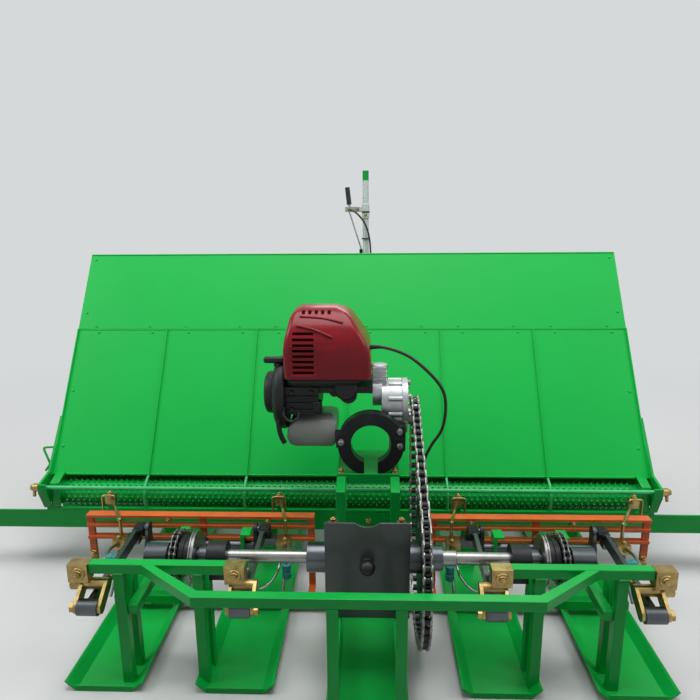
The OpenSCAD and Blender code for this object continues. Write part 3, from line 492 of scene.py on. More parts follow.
def slab(name: str, low: Point, size: Point, round_mm: float = 1.0, segments: int = 2) -> Piece:
    """Makes a rectangular blank with rounded edges.

    Args:
        name: The piece's name.
        low: Its lowest corner, in mm.
        size: Its three sides, in mm.
        round_mm: Radius of its edges.
        segments: Faces across each rounded edge.

    Returns:
        The blank.
    """
    clear_selection()
    centre = [(lo + side / 2) * MM for lo, side in zip(low, size)]
    bpy.ops.mesh.primitive_cube_add(size=1, location=centre)
    obj = bpy.context.object
    obj.name = name
    obj.scale = Vector(size) * MM
    bpy.ops.object.transform_apply()
    if round_mm:
        open_mesh()
        bpy.ops.mesh.bevel(offset=round_mm * MM, segments=segments, affect="EDGES")
        bpy.ops.object.mode_set(mode="OBJECT")
    return settle(obj)


def wire(name: str, points: list[Point] | list[Vector], width: float, sides: int = 12) -> Piece:
    """Bends a round rod along points.

    Args:
        name: The piece's name.
        points: Its centre line, in mm.
        width: Its diameter, in mm.
        sides: Faces round it.

    Returns:
        The rod as a mesh.
    """
    clear_selection()
    curve = bpy.data.curves.new(name, "CURVE")
    curve.dimensions = "3D"
    line = curve.splines.new("POLY")
    line.points.add(len(points) - 1)
    for spot, point in zip(line.points, points):
        spot.co = (*(Vector(point) * MM), 1)
    curve.bevel_depth = width / 2 * MM
    curve.bevel_resolution = max(0, sides // 4 - 1)
    curve.use_fill_caps = True
    obj = bpy.data.objects.new(name, curve)
    enter(obj)
    pick(obj)
    bpy.ops.object.convert(target="MESH")
    return settle(bpy.context.object, WIRE_SMOOTH_DEG)


def bent(name: str, line: list[Point], steps: int, width: float, sides: int = 12) -> Piece:
    """Bends a round rod in a smooth curve through a few points.

    Args:
        name: The piece's name.
        line: The points, in mm.
        steps: Parts between two points.
        width: Its diameter, in mm.
        sides: Faces round it.

    Returns:
        The rod as a mesh.
    """
    return wire(name, smooth_path([Vector(p) for p in line], steps), width, sides)


def join(name: str, pieces: list[Piece]) -> Piece:
    """Joins pieces into one object.

    Args:
        name: The joined piece's name.
        pieces: What is joined.

    Returns:
        The joined piece.
    """
    pick(*pieces)
    if len(pieces) > 1:
        bpy.ops.object.join()
    made = bpy.context.view_layer.objects.active
    made.name = name
    made.data.name = name
    return made


def copies(name: str, model: Piece, places: list[Matrix]) -> Piece:
    """Sets copies of a model at several places and removes the model.

    Args:
        name: The name of what the copies become.
        model: What is copied, at the origin.
        places: Where each copy goes, in metres.

    Returns:
        All the copies as one piece.
    """
    made = []
    for place in places:
        obj = bpy.data.objects.new(name, model.data.copy())
        enter(obj)
        obj.matrix_world = place
        made.append(obj)
    pick(*made)
    bpy.ops.object.transform_apply()
    bpy.data.objects.remove(model)
    return join(name, made)


def at(x: float, y: float, z: float, axis: Axis = Axis.Z, turn_deg: float = 0.0) -> Matrix:
    """A place in mm, with the Z axis laid along another one.

    Args:
        x: Place to the right.
        y: Place away from the planting side.
        z: Height.
        axis: Where the copy's Z axis points.
        turn_deg: Turn about that axis.

    Returns:
        The place as a matrix in metres.
    """
    spun = Matrix.Rotation(math.radians(turn_deg), 4, "Z")
    return Matrix.Translation(Vector((x, y, z)) * MM) @ axis.turn() @ spun


def hex_bolt(across: float, height: float, stud: float = 0.0) -> Piece:
    """Makes a hexagon head or nut on its washer, with a stud's end through it.

    Args:
        across: Width over two corners, in mm.
        height: Height of the head.
        stud: How far a stud stands out of it.

    Returns:
        The bolt at the origin, with its seat at Z 0.
    """
    seat = 1.4
    half = across / 2
    middle = (0, 0, (seat + height / 2) * MM)
    clear_selection()
    bpy.ops.mesh.primitive_cylinder_add(
        vertices=6, radius=half * MM, depth=height * MM, location=middle,
    )
    head = bpy.context.object
    bpy.ops.object.transform_apply()
    open_mesh()
    bpy.ops.mesh.bevel(offset=across * 0.05 * MM, segments=1, affect="EDGES")
    bpy.ops.object.mode_set(mode="OBJECT")
    settle(head)
    ring = [(0, 0), (half * 1.15, 0), (half * 1.18, seat * 0.5), (half * 1.1, seat), (0, seat)]
    parts = [head, turned("washer", ring, 20)]
    if stud:
        top = seat + height + stud
        r = half * 0.5
        end = [(0, height), (r, height), (r, top - 0.8), (r - 0.8, top), (0, top)]
        parts.append(turned("stud", end, 14))
    return join("bolt", parts)


def facing_front(x: float, y: float, z: float, turn_deg: float = 0.0) -> Matrix:
    """A place in mm whose Z axis points to the planting side."""
    return at(x, y, z, Axis.Y, turn_deg) @ FLIP


def body_of(node: str) -> Body:
    """The body that a CAD node rides on."""
    return Body(frame["nodes"][node]["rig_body"])


def dress(obj: Piece, finish: Finish | None, body: Body = Body.FRAME) -> Piece:
    """Gives a new piece its finish and its body.

    Args:
        obj: The piece.
        finish: Its finish, or None where its parts already have theirs.
        body: The body that carries it.

    Returns:
        The same piece.
    """
    if finish:
        obj.data.materials.clear()
        obj.data.materials.append(finish.material())
    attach(obj, body.value)
    LOG.info("%s: %d faces on %s", obj.name, len(obj.data.polygons), body.value)
    return obj


def keep(node: str, finish: Finish) -> None:
    """Gives a CAD node that stays as it is its finish."""
    mesh = frame["nodes"][node].data
    mesh.materials.clear()
    mesh.materials.append(finish.material())
    LOG.info("%s: kept with %s", node, finish.name)


@dataclass(frozen=True)
class Zone:
    """Faces of a piece that carry another finish.

    Attributes:
        finish: Their finish.
        low: Lowest corner of the box that holds their middles, in mm.
        high: Highest corner.
    """

    finish: Finish
    low: Point
    high: Point

    def paint(self, obj: Piece) -> None:
        """Gives the faces in the box this zone's finish."""
        obj.data.materials.append(self.finish.material())
        index = len(obj.data.materials) - 1
        for face in obj.data.polygons:
            spot = face.center / MM
            if all(lo <= value <= hi for lo, value, hi in zip(self.low, spot, self.high)):
                face.material_index = index


def arm_zones(x: float, claw: float) -> tuple[Zone, ...]:
    """The black knob and the zinc claw casing of a planting arm.

    Args:
        x: The arm's place.
        claw: The claw's place.

    Returns:
        The two zones.
    """
    return (
        Zone(YELLOW_ZINC, (claw - 14.6, -439, 125), (claw + 14.6, -413, 152.5)),
        Zone(BLACK_NYLON, (x - 9.6, -438, 143), (x + 9.6, -406, 188)),
    )


# Where a node's copy carries another finish
ZONES = {
    "cross_shaft_left": (Zone(DRAWN_STEEL, (-248.5, -560, 174), (-93.5, -538, 196)),),
    "cross_shaft_right": (Zone(DRAWN_STEEL, (115.5, -562, 172), (248.5, -536, 198)),),
    "slide_bar": (
        Zone(YELLOW_ZINC, (-700, -310, 160), (-650.1, -280, 190)),
        Zone(YELLOW_ZINC, (560.1, -310, 160), (620, -280, 190)),
    ),
    "drawbar": (Zone(WHITE_ENAMEL, (-42, 655, 560), (14, 690, 789)),),
    "crank_shafts": tuple(
        Zone(BLACK_STEEL, (x - 3.5, -445, 110), (x + 3.5, -405, 175))
        for x in (-384, -198, 198, 384)
    ),
    "hand_lever": (Zone(GRIP_RUBBER, (-90, 660, 714), (-40, 690, 780)),),
    **{"planting_arm_" + word: arm_zones(*spots) for word, spots in ARMS.items()},
}


def arm_cuts(x: float, claw: float) -> tuple[Box, ...]:
    """What comes off an arm's knob and its claw casing.

    Args:
        x: The arm's place.
        claw: The claw's place.

    Returns:
        Boxes as low corner and size.
    """
    outer = claw - 16 if claw < x else claw + 9.5
    return (
        ((x - 16, -445, 163.5), (32, 46, 30)), ((claw - 16, -440, 143), (32, 30, 12)),
        ((outer, -440, 124), (6.5, 30, 30)),
    )


# Heights at which a finish changes in the middle of a face
SPLITS = {"drawbar": 789}
# Boxes that come off a node's copy, as low corner and size
CUTS = {
    "bar_guides": tuple(((x + edge, -333, 155), (5, 24, 20)) for x in CLAMPS for edge in (-13, 8)),
    **{"planting_arm_" + word: arm_cuts(*spots) for word, spots in ARMS.items()},
}


def rounded(node: str, finish: Finish, edge_mm: float) -> Piece:
    """Stands a copy of a CAD node in for it, with its edges rounded.

    Args:
        node: The CAD node.
        finish: The copy's finish.
        edge_mm: Radius of the edges.

    Returns:
        The copy.
    """
    source = frame["nodes"][node]
    obj = bpy.data.objects.new(node + "_finished", source.data.copy())
    enter(obj)
    pick(obj)
    open_mesh()
    bpy.ops.mesh.remove_doubles(threshold=CAD_MERGE_MM * MM)
    bpy.ops.mesh.dissolve_degenerate(threshold=CAD_MERGE_MM * MM)
    bpy.ops.mesh.dissolve_limited(angle_limit=math.radians(FLAT_DEG))
    if node in SPLITS:
        open_mesh()
        bpy.ops.mesh.bisect(plane_co=(0, 0, SPLITS[node] * MM), plane_no=(0, 0, 1))
    bpy.ops.object.mode_set(mode="OBJECT")
    bpy.ops.mesh.customdata_custom_splitnormals_clear()
    settle(obj)
    if node in CUTS:
        cut(obj, [slab("off", low, size, 0) for low, size in CUTS[node]])
    if edge_mm:
        round_edges(obj, edge_mm, 2, EDGE_DEG, True)
    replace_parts(obj, node)
    dress(obj, finish, body_of(node))
    for zone in ZONES.get(node, ()):
        zone.paint(obj)
    return obj


def seen_rays(tree: Tree) -> Socket:
    """Tells the rays that see the studio from those that light the machine.

    Args:
        tree: The node tree of a floor, backdrop or world.

    Returns:
        1 for camera, glossy and transmission rays, otherwise 0.
    """
    rays = add_node(tree, "LightPath").outputs
    seen = rays["Is Camera Ray"]
    for kind in ("Is Glossy Ray", "Is Transmission Ray"):
        seen = add_node(tree, "Math", {0: seen, 1: rays[kind]}, operation="MAXIMUM").outputs[0]
    return seen


@dataclass
class Studio:
    """Camera, lamps and floor.

    Attributes:
        eye: Place of the camera, in metres.
        down_deg: How far it looks down.
        turn_deg: How far it is turned to the left.
        roll_deg: How far it is rolled.
        focal_px: Its focal length in pixels of the picture.
        frame_px: Width of the picture.
        aim: What the lamps point at.
        surround: Strength of the light from all round.
        fade_m: Where the floor begins to turn into the backdrop, and where it has.
    """

    eye: Point = (0.006, -1.416, 0.720)
    down_deg: float = 13.3
    turn_deg: float = 1.92
    roll_deg: float = 0.45
    focal_px: float = 624.0
    frame_px: float = 700.0
    aim: Point = (0, -0.1, 0.3)
    surround: float = 0.17
    fade_m: tuple[float, float] = (1.0, 2.9)

    def camera(self) -> None:
        """Sets the camera at the photograph's viewing angle."""
        data = bpy.data.cameras.new("photo_view")
        data.sensor_width = 36.0
        data.lens = self.focal_px / self.frame_px * data.sensor_width
        camera = bpy.data.objects.new("photo_view", data)
        camera.location = self.eye
        camera.rotation_euler = (
            math.radians(90 - self.down_deg), math.radians(self.roll_deg),
            math.radians(self.turn_deg),
        )
        enter(camera)
        bpy.context.scene.camera = camera

    def lamps(self) -> None:
        """Hangs four soft area lamps and sets an even surround."""
        for name, spot, size, watts in (
            ("overhead", (0.0, -0.45, 3.1), 2.0, 56.0), ("left", (-2.4, -0.8, 2.4), 1.5, 34.0),
            ("right", (2.4, -0.8, 2.4), 1.5, 30.0), ("back", (0.4, 2.4, 2.1), 1.6, 18.0),
        ):
            data = bpy.data.lights.new(name, "AREA")
            data.energy = watts
            data.size = size
            lamp = bpy.data.objects.new(name, data)
            lamp.location = spot
            way = Vector(self.aim) - lamp.location
            lamp.rotation_euler = way.to_track_quat("-Z", "Y").to_euler()
            enter(lamp)
        world = bpy.data.worlds.new("surround")
        bpy.context.scene.world = world
        world.use_nodes = True
        tree = world.node_tree
        tree.nodes.clear()
        pale = {"Color": linear(BACKDROP_COLOUR), "Strength": 1.0}
        soft = {"Color": linear(SURROUND_COLOUR), "Strength": self.surround}
        lights = [add_node(tree, "Background", inputs).outputs[0] for inputs in (soft, pale)]
        mixed = add_node(tree, "MixShader", {0: seen_rays(tree), 1: lights[0], 2: lights[1]})
        add_node(tree, "OutputWorld", {"Surface": mixed.outputs[0]})

    def floor(self) -> None:
        """Lays a plain pale floor that sweeps up behind the machine."""
        clear_selection()
        bpy.ops.mesh.primitive_plane_add(size=12, location=(0, -1, 0))
        floor = bpy.context.object
        floor.name = "studio_floor"
        choose(floor, lambda co: co.y > 0)
        steps, bend_deg, stride, wall = 12, 7.5, 0.26, 4
        for i in range(steps):
            turn = math.radians(bend_deg * i + bend_deg / 2)
            step = (0, math.cos(turn) * stride, math.sin(turn) * stride)
            bpy.ops.mesh.extrude_region_move(TRANSFORM_OT_translate={"value": step})
        bpy.ops.mesh.extrude_region_move(TRANSFORM_OT_translate={"value": (0, 0, wall)})
        bpy.ops.object.mode_set(mode="OBJECT")
        bpy.ops.object.shade_smooth()
        floor.data.materials.append(self.floor_finish())

    def floor_finish(self) -> bpy.types.Material:
        """The floor's material, which turns into the backdrop far from the machine.

        Returns:
            The new material.
        """
        made = new_material("pale_floor")
        tree = made.node_tree
        place = add_node(tree, "TexCoord").outputs["Object"]
        gloss = span(tree, noise(tree, place, 6.0, 3.0), 0.6, 0.75)
        seen = seen_rays(tree)
        shown = blend(tree, seen, linear(FLOOR_BOUNCE), linear(FLOOR_COLOUR))
        near = add_node(tree, "BsdfPrincipled", {"Base Color": shown, "Roughness": gloss})
        far = add_node(tree, "Emission", {"Color": linear(BACKDROP_COLOUR), "Strength": 1.0})
        reach = add_node(tree, "VectorMath", {0: place}, operation="LENGTH").outputs["Value"]
        away = span(tree, reach, 0.0, 1.0, *self.fade_m, interpolation_type="SMOOTHSTEP")
        share = product(tree, away, seen)
        mixed = add_node(
            tree, "MixShader", {0: share, 1: near.outputs["BSDF"], 2: far.outputs["Emission"]},
        )
        add_node(tree, "OutputMaterial", {"Surface": mixed.outputs[0]})
        return made

    def build(self) -> None:
        """Sets up the whole studio."""
        bpy.context.scene.view_settings.view_transform = "Standard"
        self.camera()
        self.lamps()
        self.floor()


def lofted(
    name: str, levels: list[tuple[float, float, float, float, float]], round_mm: float,
) -> Piece:
    """Raises a moulded body through rectangular levels and rounds its edges.

    Args:
        name: The piece's name.
        levels: Height, then low and high X, then low and high Y of each level, in mm.
        round_mm: Radius of the edges.

    Returns:
        The closed body.
    """
    clear_selection()
    height, x0, x1, y0, y1 = levels[0]
    bpy.ops.mesh.primitive_plane_add(size=1)
    obj = bpy.context.object
    obj.name = name
    open_mesh()
    bpy.ops.transform.resize(value=((x1 - x0) * MM, (y1 - y0) * MM, 1))
    middle = Vector(((x0 + x1) / 2, (y0 + y1) / 2, height)) * MM
    bpy.ops.transform.translate(value=middle)
    for level in levels[1:]:
        wide, deep = (level[2] - level[1]) / (x1 - x0), (level[4] - level[3]) / (y1 - y0)
        height, x0, x1, y0, y1 = level
        spot = Vector(((x0 + x1) / 2, (y0 + y1) / 2, height)) * MM
        bpy.ops.mesh.extrude_region_move(TRANSFORM_OT_translate={"value": spot - middle})
        bpy.ops.transform.resize(value=(wide, deep, 1), center_override=spot)
        middle = spot
    close_mesh()
    round_edges(obj, round_mm, 5, MOULD_DEG)
    return settle(obj)


def cut(obj: Piece, cutters: list[Piece]) -> Piece:
    """Cuts pieces out of a body and removes them.

    Args:
        obj: The body.
        cutters: What is cut out of it.

    Returns:
        The body.
    """
    tool = join("cutter", cutters)
    pick(obj)
    hole = obj.modifiers.new("hole", "BOOLEAN")
    hole.object = tool
    hole.solver = "EXACT"
    hole.use_self = True
    bpy.ops.object.modifier_apply(modifier="hole")
    bpy.data.objects.remove(tool)
    return settle(obj)


def ring_spot(centre: Vector, radius: float, angle: float) -> Vector:
    """The point of a circle at an angle."""
    return centre + radius * Vector((math.cos(angle), math.sin(angle)))


def ring_spots(
    middle: tuple[float, float], radius: float, count: int, first_deg: float,
) -> Profile:
    """Y and Z of spots in even steps round a middle."""
    turns = [math.radians(first_deg + 360 / count * i) for i in range(count)]
    return [(middle[0] + radius * math.cos(t), middle[1] + radius * math.sin(t)) for t in turns]


def smooth_path(points: list[Vector], steps: int) -> list[Vector]:
    """Runs a smooth curve through points.

    Args:
        points: The points.
        steps: Parts between two points.

    Returns:
        The points of the curve.
    """
    made = []
    last = len(points) - 1
    for i in range(last):
        p0, p1, p2 = points[max(i - 1, 0)], points[i], points[i + 1]
        p3 = points[min(i + 2, last)]
        for k in range(steps):
            t = k / steps
            made.append(
                0.5
                * (
                    2 * p1
                    + (p2 - p0) * t
                    + (2 * p0 - 5 * p1 + 4 * p2 - p3) * t**2
                    + (3 * p1 - p0 - 3 * p2 + p3) * t**3
                )
            )
    return [*made, points[last]]


def even_points(path: list[Vector], count: int) -> list[Vector]:
    """Divides a path into equal runs.

    Args:
        path: Its points.
        count: How many runs.

    Returns:
        The points between the runs, without the path's ends.
    """
    lengths = [0.0]
    for a, b in zip(path, path[1:]):
        lengths.append(lengths[-1] + (b - a).length)
    made = []
    for k in range(1, count):
        want = lengths[-1] * k / count
        i = next(j for j, reach in enumerate(lengths) if reach >= want)
        share = (want - lengths[i - 1]) / (lengths[i] - lengths[i - 1])
        made.append(path[i - 1].lerp(path[i], share))
    return made


@dataclass(frozen=True)
class ChainSize:
    """Standard measures of a roller chain.

    Attributes:
        pitch: From roller to roller.
        roller_r: Radius of a roller.
        end_r: Radius of a plate's round end.
        waist: Half the plate's height at its middle.
        inner: From the chain's middle to its inner plates.
        plate: Thickness of a plate.
    """

    pitch: float
    roller_r: float
    end_r: float
    waist: float
    inner: float
    plate: float

    def plate_model(self) -> Piece:
        """One side plate along X with round ends and a waist, on the XY plane."""
        clear_selection()
        bpy.ops.mesh.primitive_circle_add(
            vertices=20, radius=self.end_r * MM, fill_type="NGON", location=(0, 0, 0),
        )
        obj = bpy.context.object
        for side in SIDES:
            choose(obj, lambda co: co.x * side > 0.1 * self.end_r * MM)
            bpy.ops.transform.translate(value=(side * self.pitch / 2 * MM, 0, 0))
        choose(obj, lambda co: abs(co.x) <= 0.1 * self.end_r * MM)
        bpy.ops.transform.resize(value=(1, self.waist / self.end_r, 1), center_override=(0, 0, 0))
        open_mesh()
        thick = (0, 0, self.plate * MM)
        bpy.ops.mesh.extrude_region_move(TRANSFORM_OT_translate={"value": thick})
        close_mesh()
        return settle(obj)

    def lay(self, name: str, spots: list[Vector], mid_x: float) -> Piece:
        """Links a closed chain through its roller centres.

        Args:
            name: The chain's name.
            spots: Y and Z of every roller, in mm.
            mid_x: Middle of the chain.

        Returns:
            The chain.
        """
        plates, pins = [], []
        for i, spot in enumerate(spots):
            ahead = spots[(i + 1) % len(spots)]
            middle = (spot + ahead) / 2
            lean = math.atan2(ahead.y - spot.y, ahead.x - spot.x)
            # The plate's model lies along X, and its thickness is turned to X here
            link = (
                Matrix.Translation(Vector((mid_x, middle.x, middle.y)) * MM)
                @ Matrix.Rotation(lean, 4, "X")
                @ Matrix(((0, 0, 1, 0), (1, 0, 0, 0), (0, 1, 0, 0), (0, 0, 0, 1)))
            )
            low = self.inner + (i % 2) * self.plate
            for near in (low, -low - self.plate):
                plates.append(link @ Matrix.Translation((0, 0, near * MM)))
            pins.append(at(mid_x, spot.x, spot.y, Axis.X))
        half = self.inner + 2 * self.plate
        pin_r = self.roller_r * 0.5
        pin = [
            (0, -half - 0.9), (pin_r - 0.5, -half - 0.9), (pin_r, -half - 0.4),
            (pin_r, half + 0.4), (pin_r - 0.5, half + 0.9), (0, half + 0.9),
        ]
        roller = [
            (0, -self.inner), (self.roller_r, -self.inner), (self.roller_r, self.inner),
            (0, self.inner),
        ]
        parts = [
            copies("plates", self.plate_model(), plates),
            copies("pins", turned("pin", pin, 10), pins),
            copies("rollers", turned("roller", roller, 14), pins),
        ]
        # The rollers take the dark oiled steel as painted shade, for the shade they sit in between
        # the side plates
        for part, finish in zip(parts, (CHAIN_STEEL, CHAIN_STEEL, BLACK_STEEL)):
            part.data.materials.append(finish.material())
        return join(name, parts)


DRIVE_CHAIN = ChainSize(15.875, 5.0, 7.2, 5.2, 4.0, 1.5)
TIMING_CHAIN = ChainSize(9.525, 3.1, 4.3, 3.2, 2.6, 1.0)


def choose(obj: Piece, test: Callable[[Vector], bool]) -> None:
    """Enters edit mode with the points selected that pass a test.

    Args:
        obj: The mesh object.
        test: Says whether a point's place counts.
    """
    if bpy.context.mode != "OBJECT":
        bpy.ops.object.mode_set(mode="OBJECT")
    bpy.context.view_layer.objects.active = obj
    bpy.ops.object.mode_set(mode="EDIT")
    bpy.ops.mesh.select_mode(type="VERT")
    bpy.ops.mesh.select_all(action="DESELECT")
    bpy.ops.object.mode_set(mode="OBJECT")
    for vert in obj.data.vertices:
        vert.select = test(vert.co)
    bpy.ops.object.mode_set(mode="EDIT")


def toothed(name: str, teeth: int, pitch: float, thick: float) -> Piece:
    """Makes a sprocket disc on the XY plane, its middle at the origin.

    Args:
        name: The piece's name.
        teeth: Its teeth.
        pitch: Chain pitch, in mm.
        thick: Thickness of the disc.

    Returns:
        The disc.
    """
    radius = pitch / (2 * math.sin(math.pi / teeth))
    clear_selection()
    bpy.ops.mesh.primitive_circle_add(
        vertices=teeth * 4, radius=(radius - pitch * 0.27) * MM, fill_type="NGON",
    )
    disc = bpy.context.object
    disc.name = name
    step = math.tau / teeth
    reach = (radius + pitch * 0.2) / (radius - pitch * 0.27)
    choose(disc, lambda co: (math.atan2(co.y, co.x) + 0.1 * step) % step < 0.3 * step)
    bpy.ops.transform.resize(value=(reach, reach, 1), center_override=(0, 0, 0))
    open_mesh()
    bpy.ops.transform.translate(value=(0, 0, -thick / 2 * MM))
    bpy.ops.mesh.extrude_region_move(TRANSFORM_OT_translate={"value": (0, 0, thick * MM)})
    close_mesh()
    return settle(disc)


def aimed(start: Point, end: Point) -> Matrix:
    """A place in mm whose Z axis points from one point to another."""
    way = Vector(end) - Vector(start)
    return Matrix.Translation(
        Vector(start) * MM
    ) @ way.to_track_quat("Z", "Y").to_matrix().to_4x4()


def placed(obj: Piece, place: Matrix) -> Piece:
    """Moves a piece to its place and applies it to the mesh."""
    obj.matrix_world = place
    return settle(obj)


@dataclass
class SeedlingTray:
    """Rivets, hems, straps, the sheet put in for the shade behind the roller, hook and weld beads
    of the sliding tray.

    Attributes:
        shift: Where the tray stands, from the middle.
        width: Width of the tray.
        low_edge: Y and Z of its lower edge.
        slope_deg: Its slope.
        seam_run: Where the two sheets meet, up the slope.
        full_run: Length of both sheets.
        lanes: Seedling lanes.
    """

    shift: float = -45.0
    width: float = 1200.0
    low_edge: tuple[float, float] = (-258.0, 185.0)
    slope_deg: float = 55.6
    seam_run: float = 322.0
    full_run: float = 511.0
    lanes: int = 6

    def on_slope(self, x: float, run: float, proud: float) -> Point:
        """A point on the tray's face.

        Args:
            x: Place from the tray's middle.
            run: Way up the slope.
            proud: Height over the sheet.

        Returns:
            The point in the machine's frame, in mm.
        """
        tilt = math.radians(self.slope_deg)
        y = self.low_edge[0] + run * math.cos(tilt) - proud * math.sin(tilt)
        z = self.low_edge[1] + run * math.sin(tilt) + proud * math.cos(tilt)
        return self.shift + x, y, z

    def facing(self, x: float, run: float, proud: float) -> Matrix:
        """A place on the tray's face whose Z axis stands out of the sheet."""
        spot = Matrix.Translation(Vector(self.on_slope(x, run, proud)) * MM)
        return spot @ Matrix.Rotation(math.radians(self.slope_deg), 4, "X")

    def rivets(self) -> Piece:
        """Pan-head rivets on both sides of the seam and along the edges."""
        head = [(0, -0.4), (3.0, -0.4), (3.1, 0.3), (2.6, 1.1), (1.5, 1.6), (0, 1.8)]
        model = turned("rivet", head, 12)
        lane = self.width / self.lanes
        places = []
        for i in range(self.lanes):
            for share in (0.2, 0.8):
                x = -self.width / 2 + lane * (i + share)
                places.append(self.facing(x, self.seam_run + 7, 0))
                places.append(self.facing(x + 8, self.seam_run - 8, 0))
        for side in SIDES:
            for run in (60, 180, self.seam_run + 40, self.full_run - 14):
                places.append(self.facing(side * (self.width / 2 - 13), run, 0))
        return copies("tray_rivets", model, places)

    def hems(self) -> Piece:
        """Rolled hems along the top of both sheets and along the lower edge."""
        half = self.width / 2 - 2
        rolls = ((self.seam_run - 1.6, 2.4), (self.full_run - 2.2, 3.0), (2.2, 3.0))
        return join(
            "tray_hems",
            [
                wire("hem", [self.on_slope(-half, run, 0), self.on_slope(half, run, 0)], wide)
                for run, wide in rolls
            ],
        )

    def roller_apron_for_shade(self) -> Piece:
        """The thin sheet behind the roller, folded at its lower edge; it closes the view to the
        bright floor and stands in for the shade behind and under the tray.
        """
        x0 = self.shift - self.width / 2 - 7
        parts = [
            slab("sheet", (x0, -219.5, 96), (self.width + 14, 1.4, 118), 0.3, 1),
            slab("fold", (x0, -219.5, 95), (self.width + 14, 8, 1.8), 0.5, 2),
        ]
        return join("roller_apron_for_shade", parts)

    def straps(self) -> Piece:
        """Flat bars bent from the tray's lower corners down to the runner."""
        parts = []
        for side in SIDES:
            x = self.shift + side * 580 - 9
            parts.append(slab("strap", (x, -291.5, 130), (18, 3.5, 52), 0.8))
            back = slab("strap", (-9, -1.75, 0), (18, 3.5, 34), 0.8)
            parts.append(placed(back, aimed((x + 9, -289.8, 180), (x + 9, -261, 190))))
        return join("tray_straps", parts)

    def side_hook(self) -> Piece:
        """The bent rod on the tray's left edge."""
        line = [
            (-644, -226, 232), (-666, -228, 232), (-670, -230, 228), (-659, -237, 206),
            (-657, -239, 200), (-664, -246, 188),
        ]
        return bent("tray_side_hook", line, 5, 4.6, 14)

    def back_welds(self) -> Piece:
        """Short weld beads that hold the sheets on the cross bars behind."""
        parts = []
        for run in (30, 296, 482):
            for x in range(-520, 521, 130):
                line = [self.on_slope(x + step * 5, run, -3.0) for step in range(7)]
                parts.append(wire("bead", line, 3.2, 8))
        return join("tray_back_welds", parts)

    def build(self) -> None:
        """Makes and dresses the tray's details."""
        for make, finish in (
            (self.rivets, GREEN_SHEET), (self.hems, GREEN_SHEET), (self.straps, GREEN_ENAMEL),
            (self.side_hook, GREEN_ENAMEL), (self.roller_apron_for_shade, GREEN_SHEET),
            (self.back_welds, WELD_BEAD),
        ):
            dress(make(), finish, Body.TRAY)


@dataclass
class SpikedRoller:
    """The drum under the tray's lower edge, set with rows of short spikes.

    Attributes:
        middle: X, Y and Z of the axis.
        length: Length of the drum.
        drum: Radius of the drum.
        tip: Radius over the spikes.
        rows: Rows of spikes round the drum.
        spacing: Spacing of the spikes in a row.
    """

    middle: Point = (-45.0, -253.0, 147.0)
    length: float = 1170.0
    drum: float = 24.2
    tip: float = 28.0
    rows: int = 20
    spacing: float = 11.7

    def shell(self) -> Piece:
        """The drum with its end collars and its journals."""
        half = self.length / 2
        collar = self.drum + 1.6
        end = [(0, half + 20), (8, half + 20), (8, half), (collar, half), (collar, half - 8)]
        end.append((self.drum, half - 9))
        profile = [(r, -x) for r, x in end] + end[::-1]
        return turned("roller_drum", profile, 64, self.middle, Axis.X)

    def spikes(self) -> Piece:
        """Rows of four-sided spikes, every second row set between the others."""
        count = int((self.length - 30) // self.spacing)
        clear_selection()
        height = self.tip - self.drum + 1.0
        bpy.ops.mesh.primitive_cone_add(
            vertices=4, radius1=3.4 * MM, radius2=0.5 * MM, depth=height * MM,
            end_fill_type="NGON", location=(0, 0, (self.tip - height / 2) * MM),
        )
        spike = bpy.context.object
        bpy.ops.object.transform_apply()
        places = []
        x0 = self.middle[0] - (count - 1) * self.spacing / 2
        centre = Matrix.Translation(Vector((0, self.middle[1], self.middle[2])) * MM)
        row = spike.modifiers.new("row", "ARRAY")
        row.count = count
        row.use_relative_offset = False
        row.use_constant_offset = True
        row.constant_offset_displace = (self.spacing * MM, 0, 0)
        bpy.ops.object.modifier_apply(modifier="row")
        for i in range(self.rows):
            shift = x0 + (i % 2 - 0.5) * self.spacing / 2
            turn = Matrix.Rotation(math.tau * i / self.rows, 4, "X")
            places.append(centre @ turn @ Matrix.Translation((shift * MM, 0, 0)))
        return copies("roller_spikes", spike, places)

    def build(self) -> None:
        """Makes and dresses the roller."""
        drum = dress(self.shell(), GREEN_ENAMEL, Body.ROLLER)
        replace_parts(drum, "feed_roller")
        dress(self.spikes(), SPIKE_EDGE, Body.ROLLER)


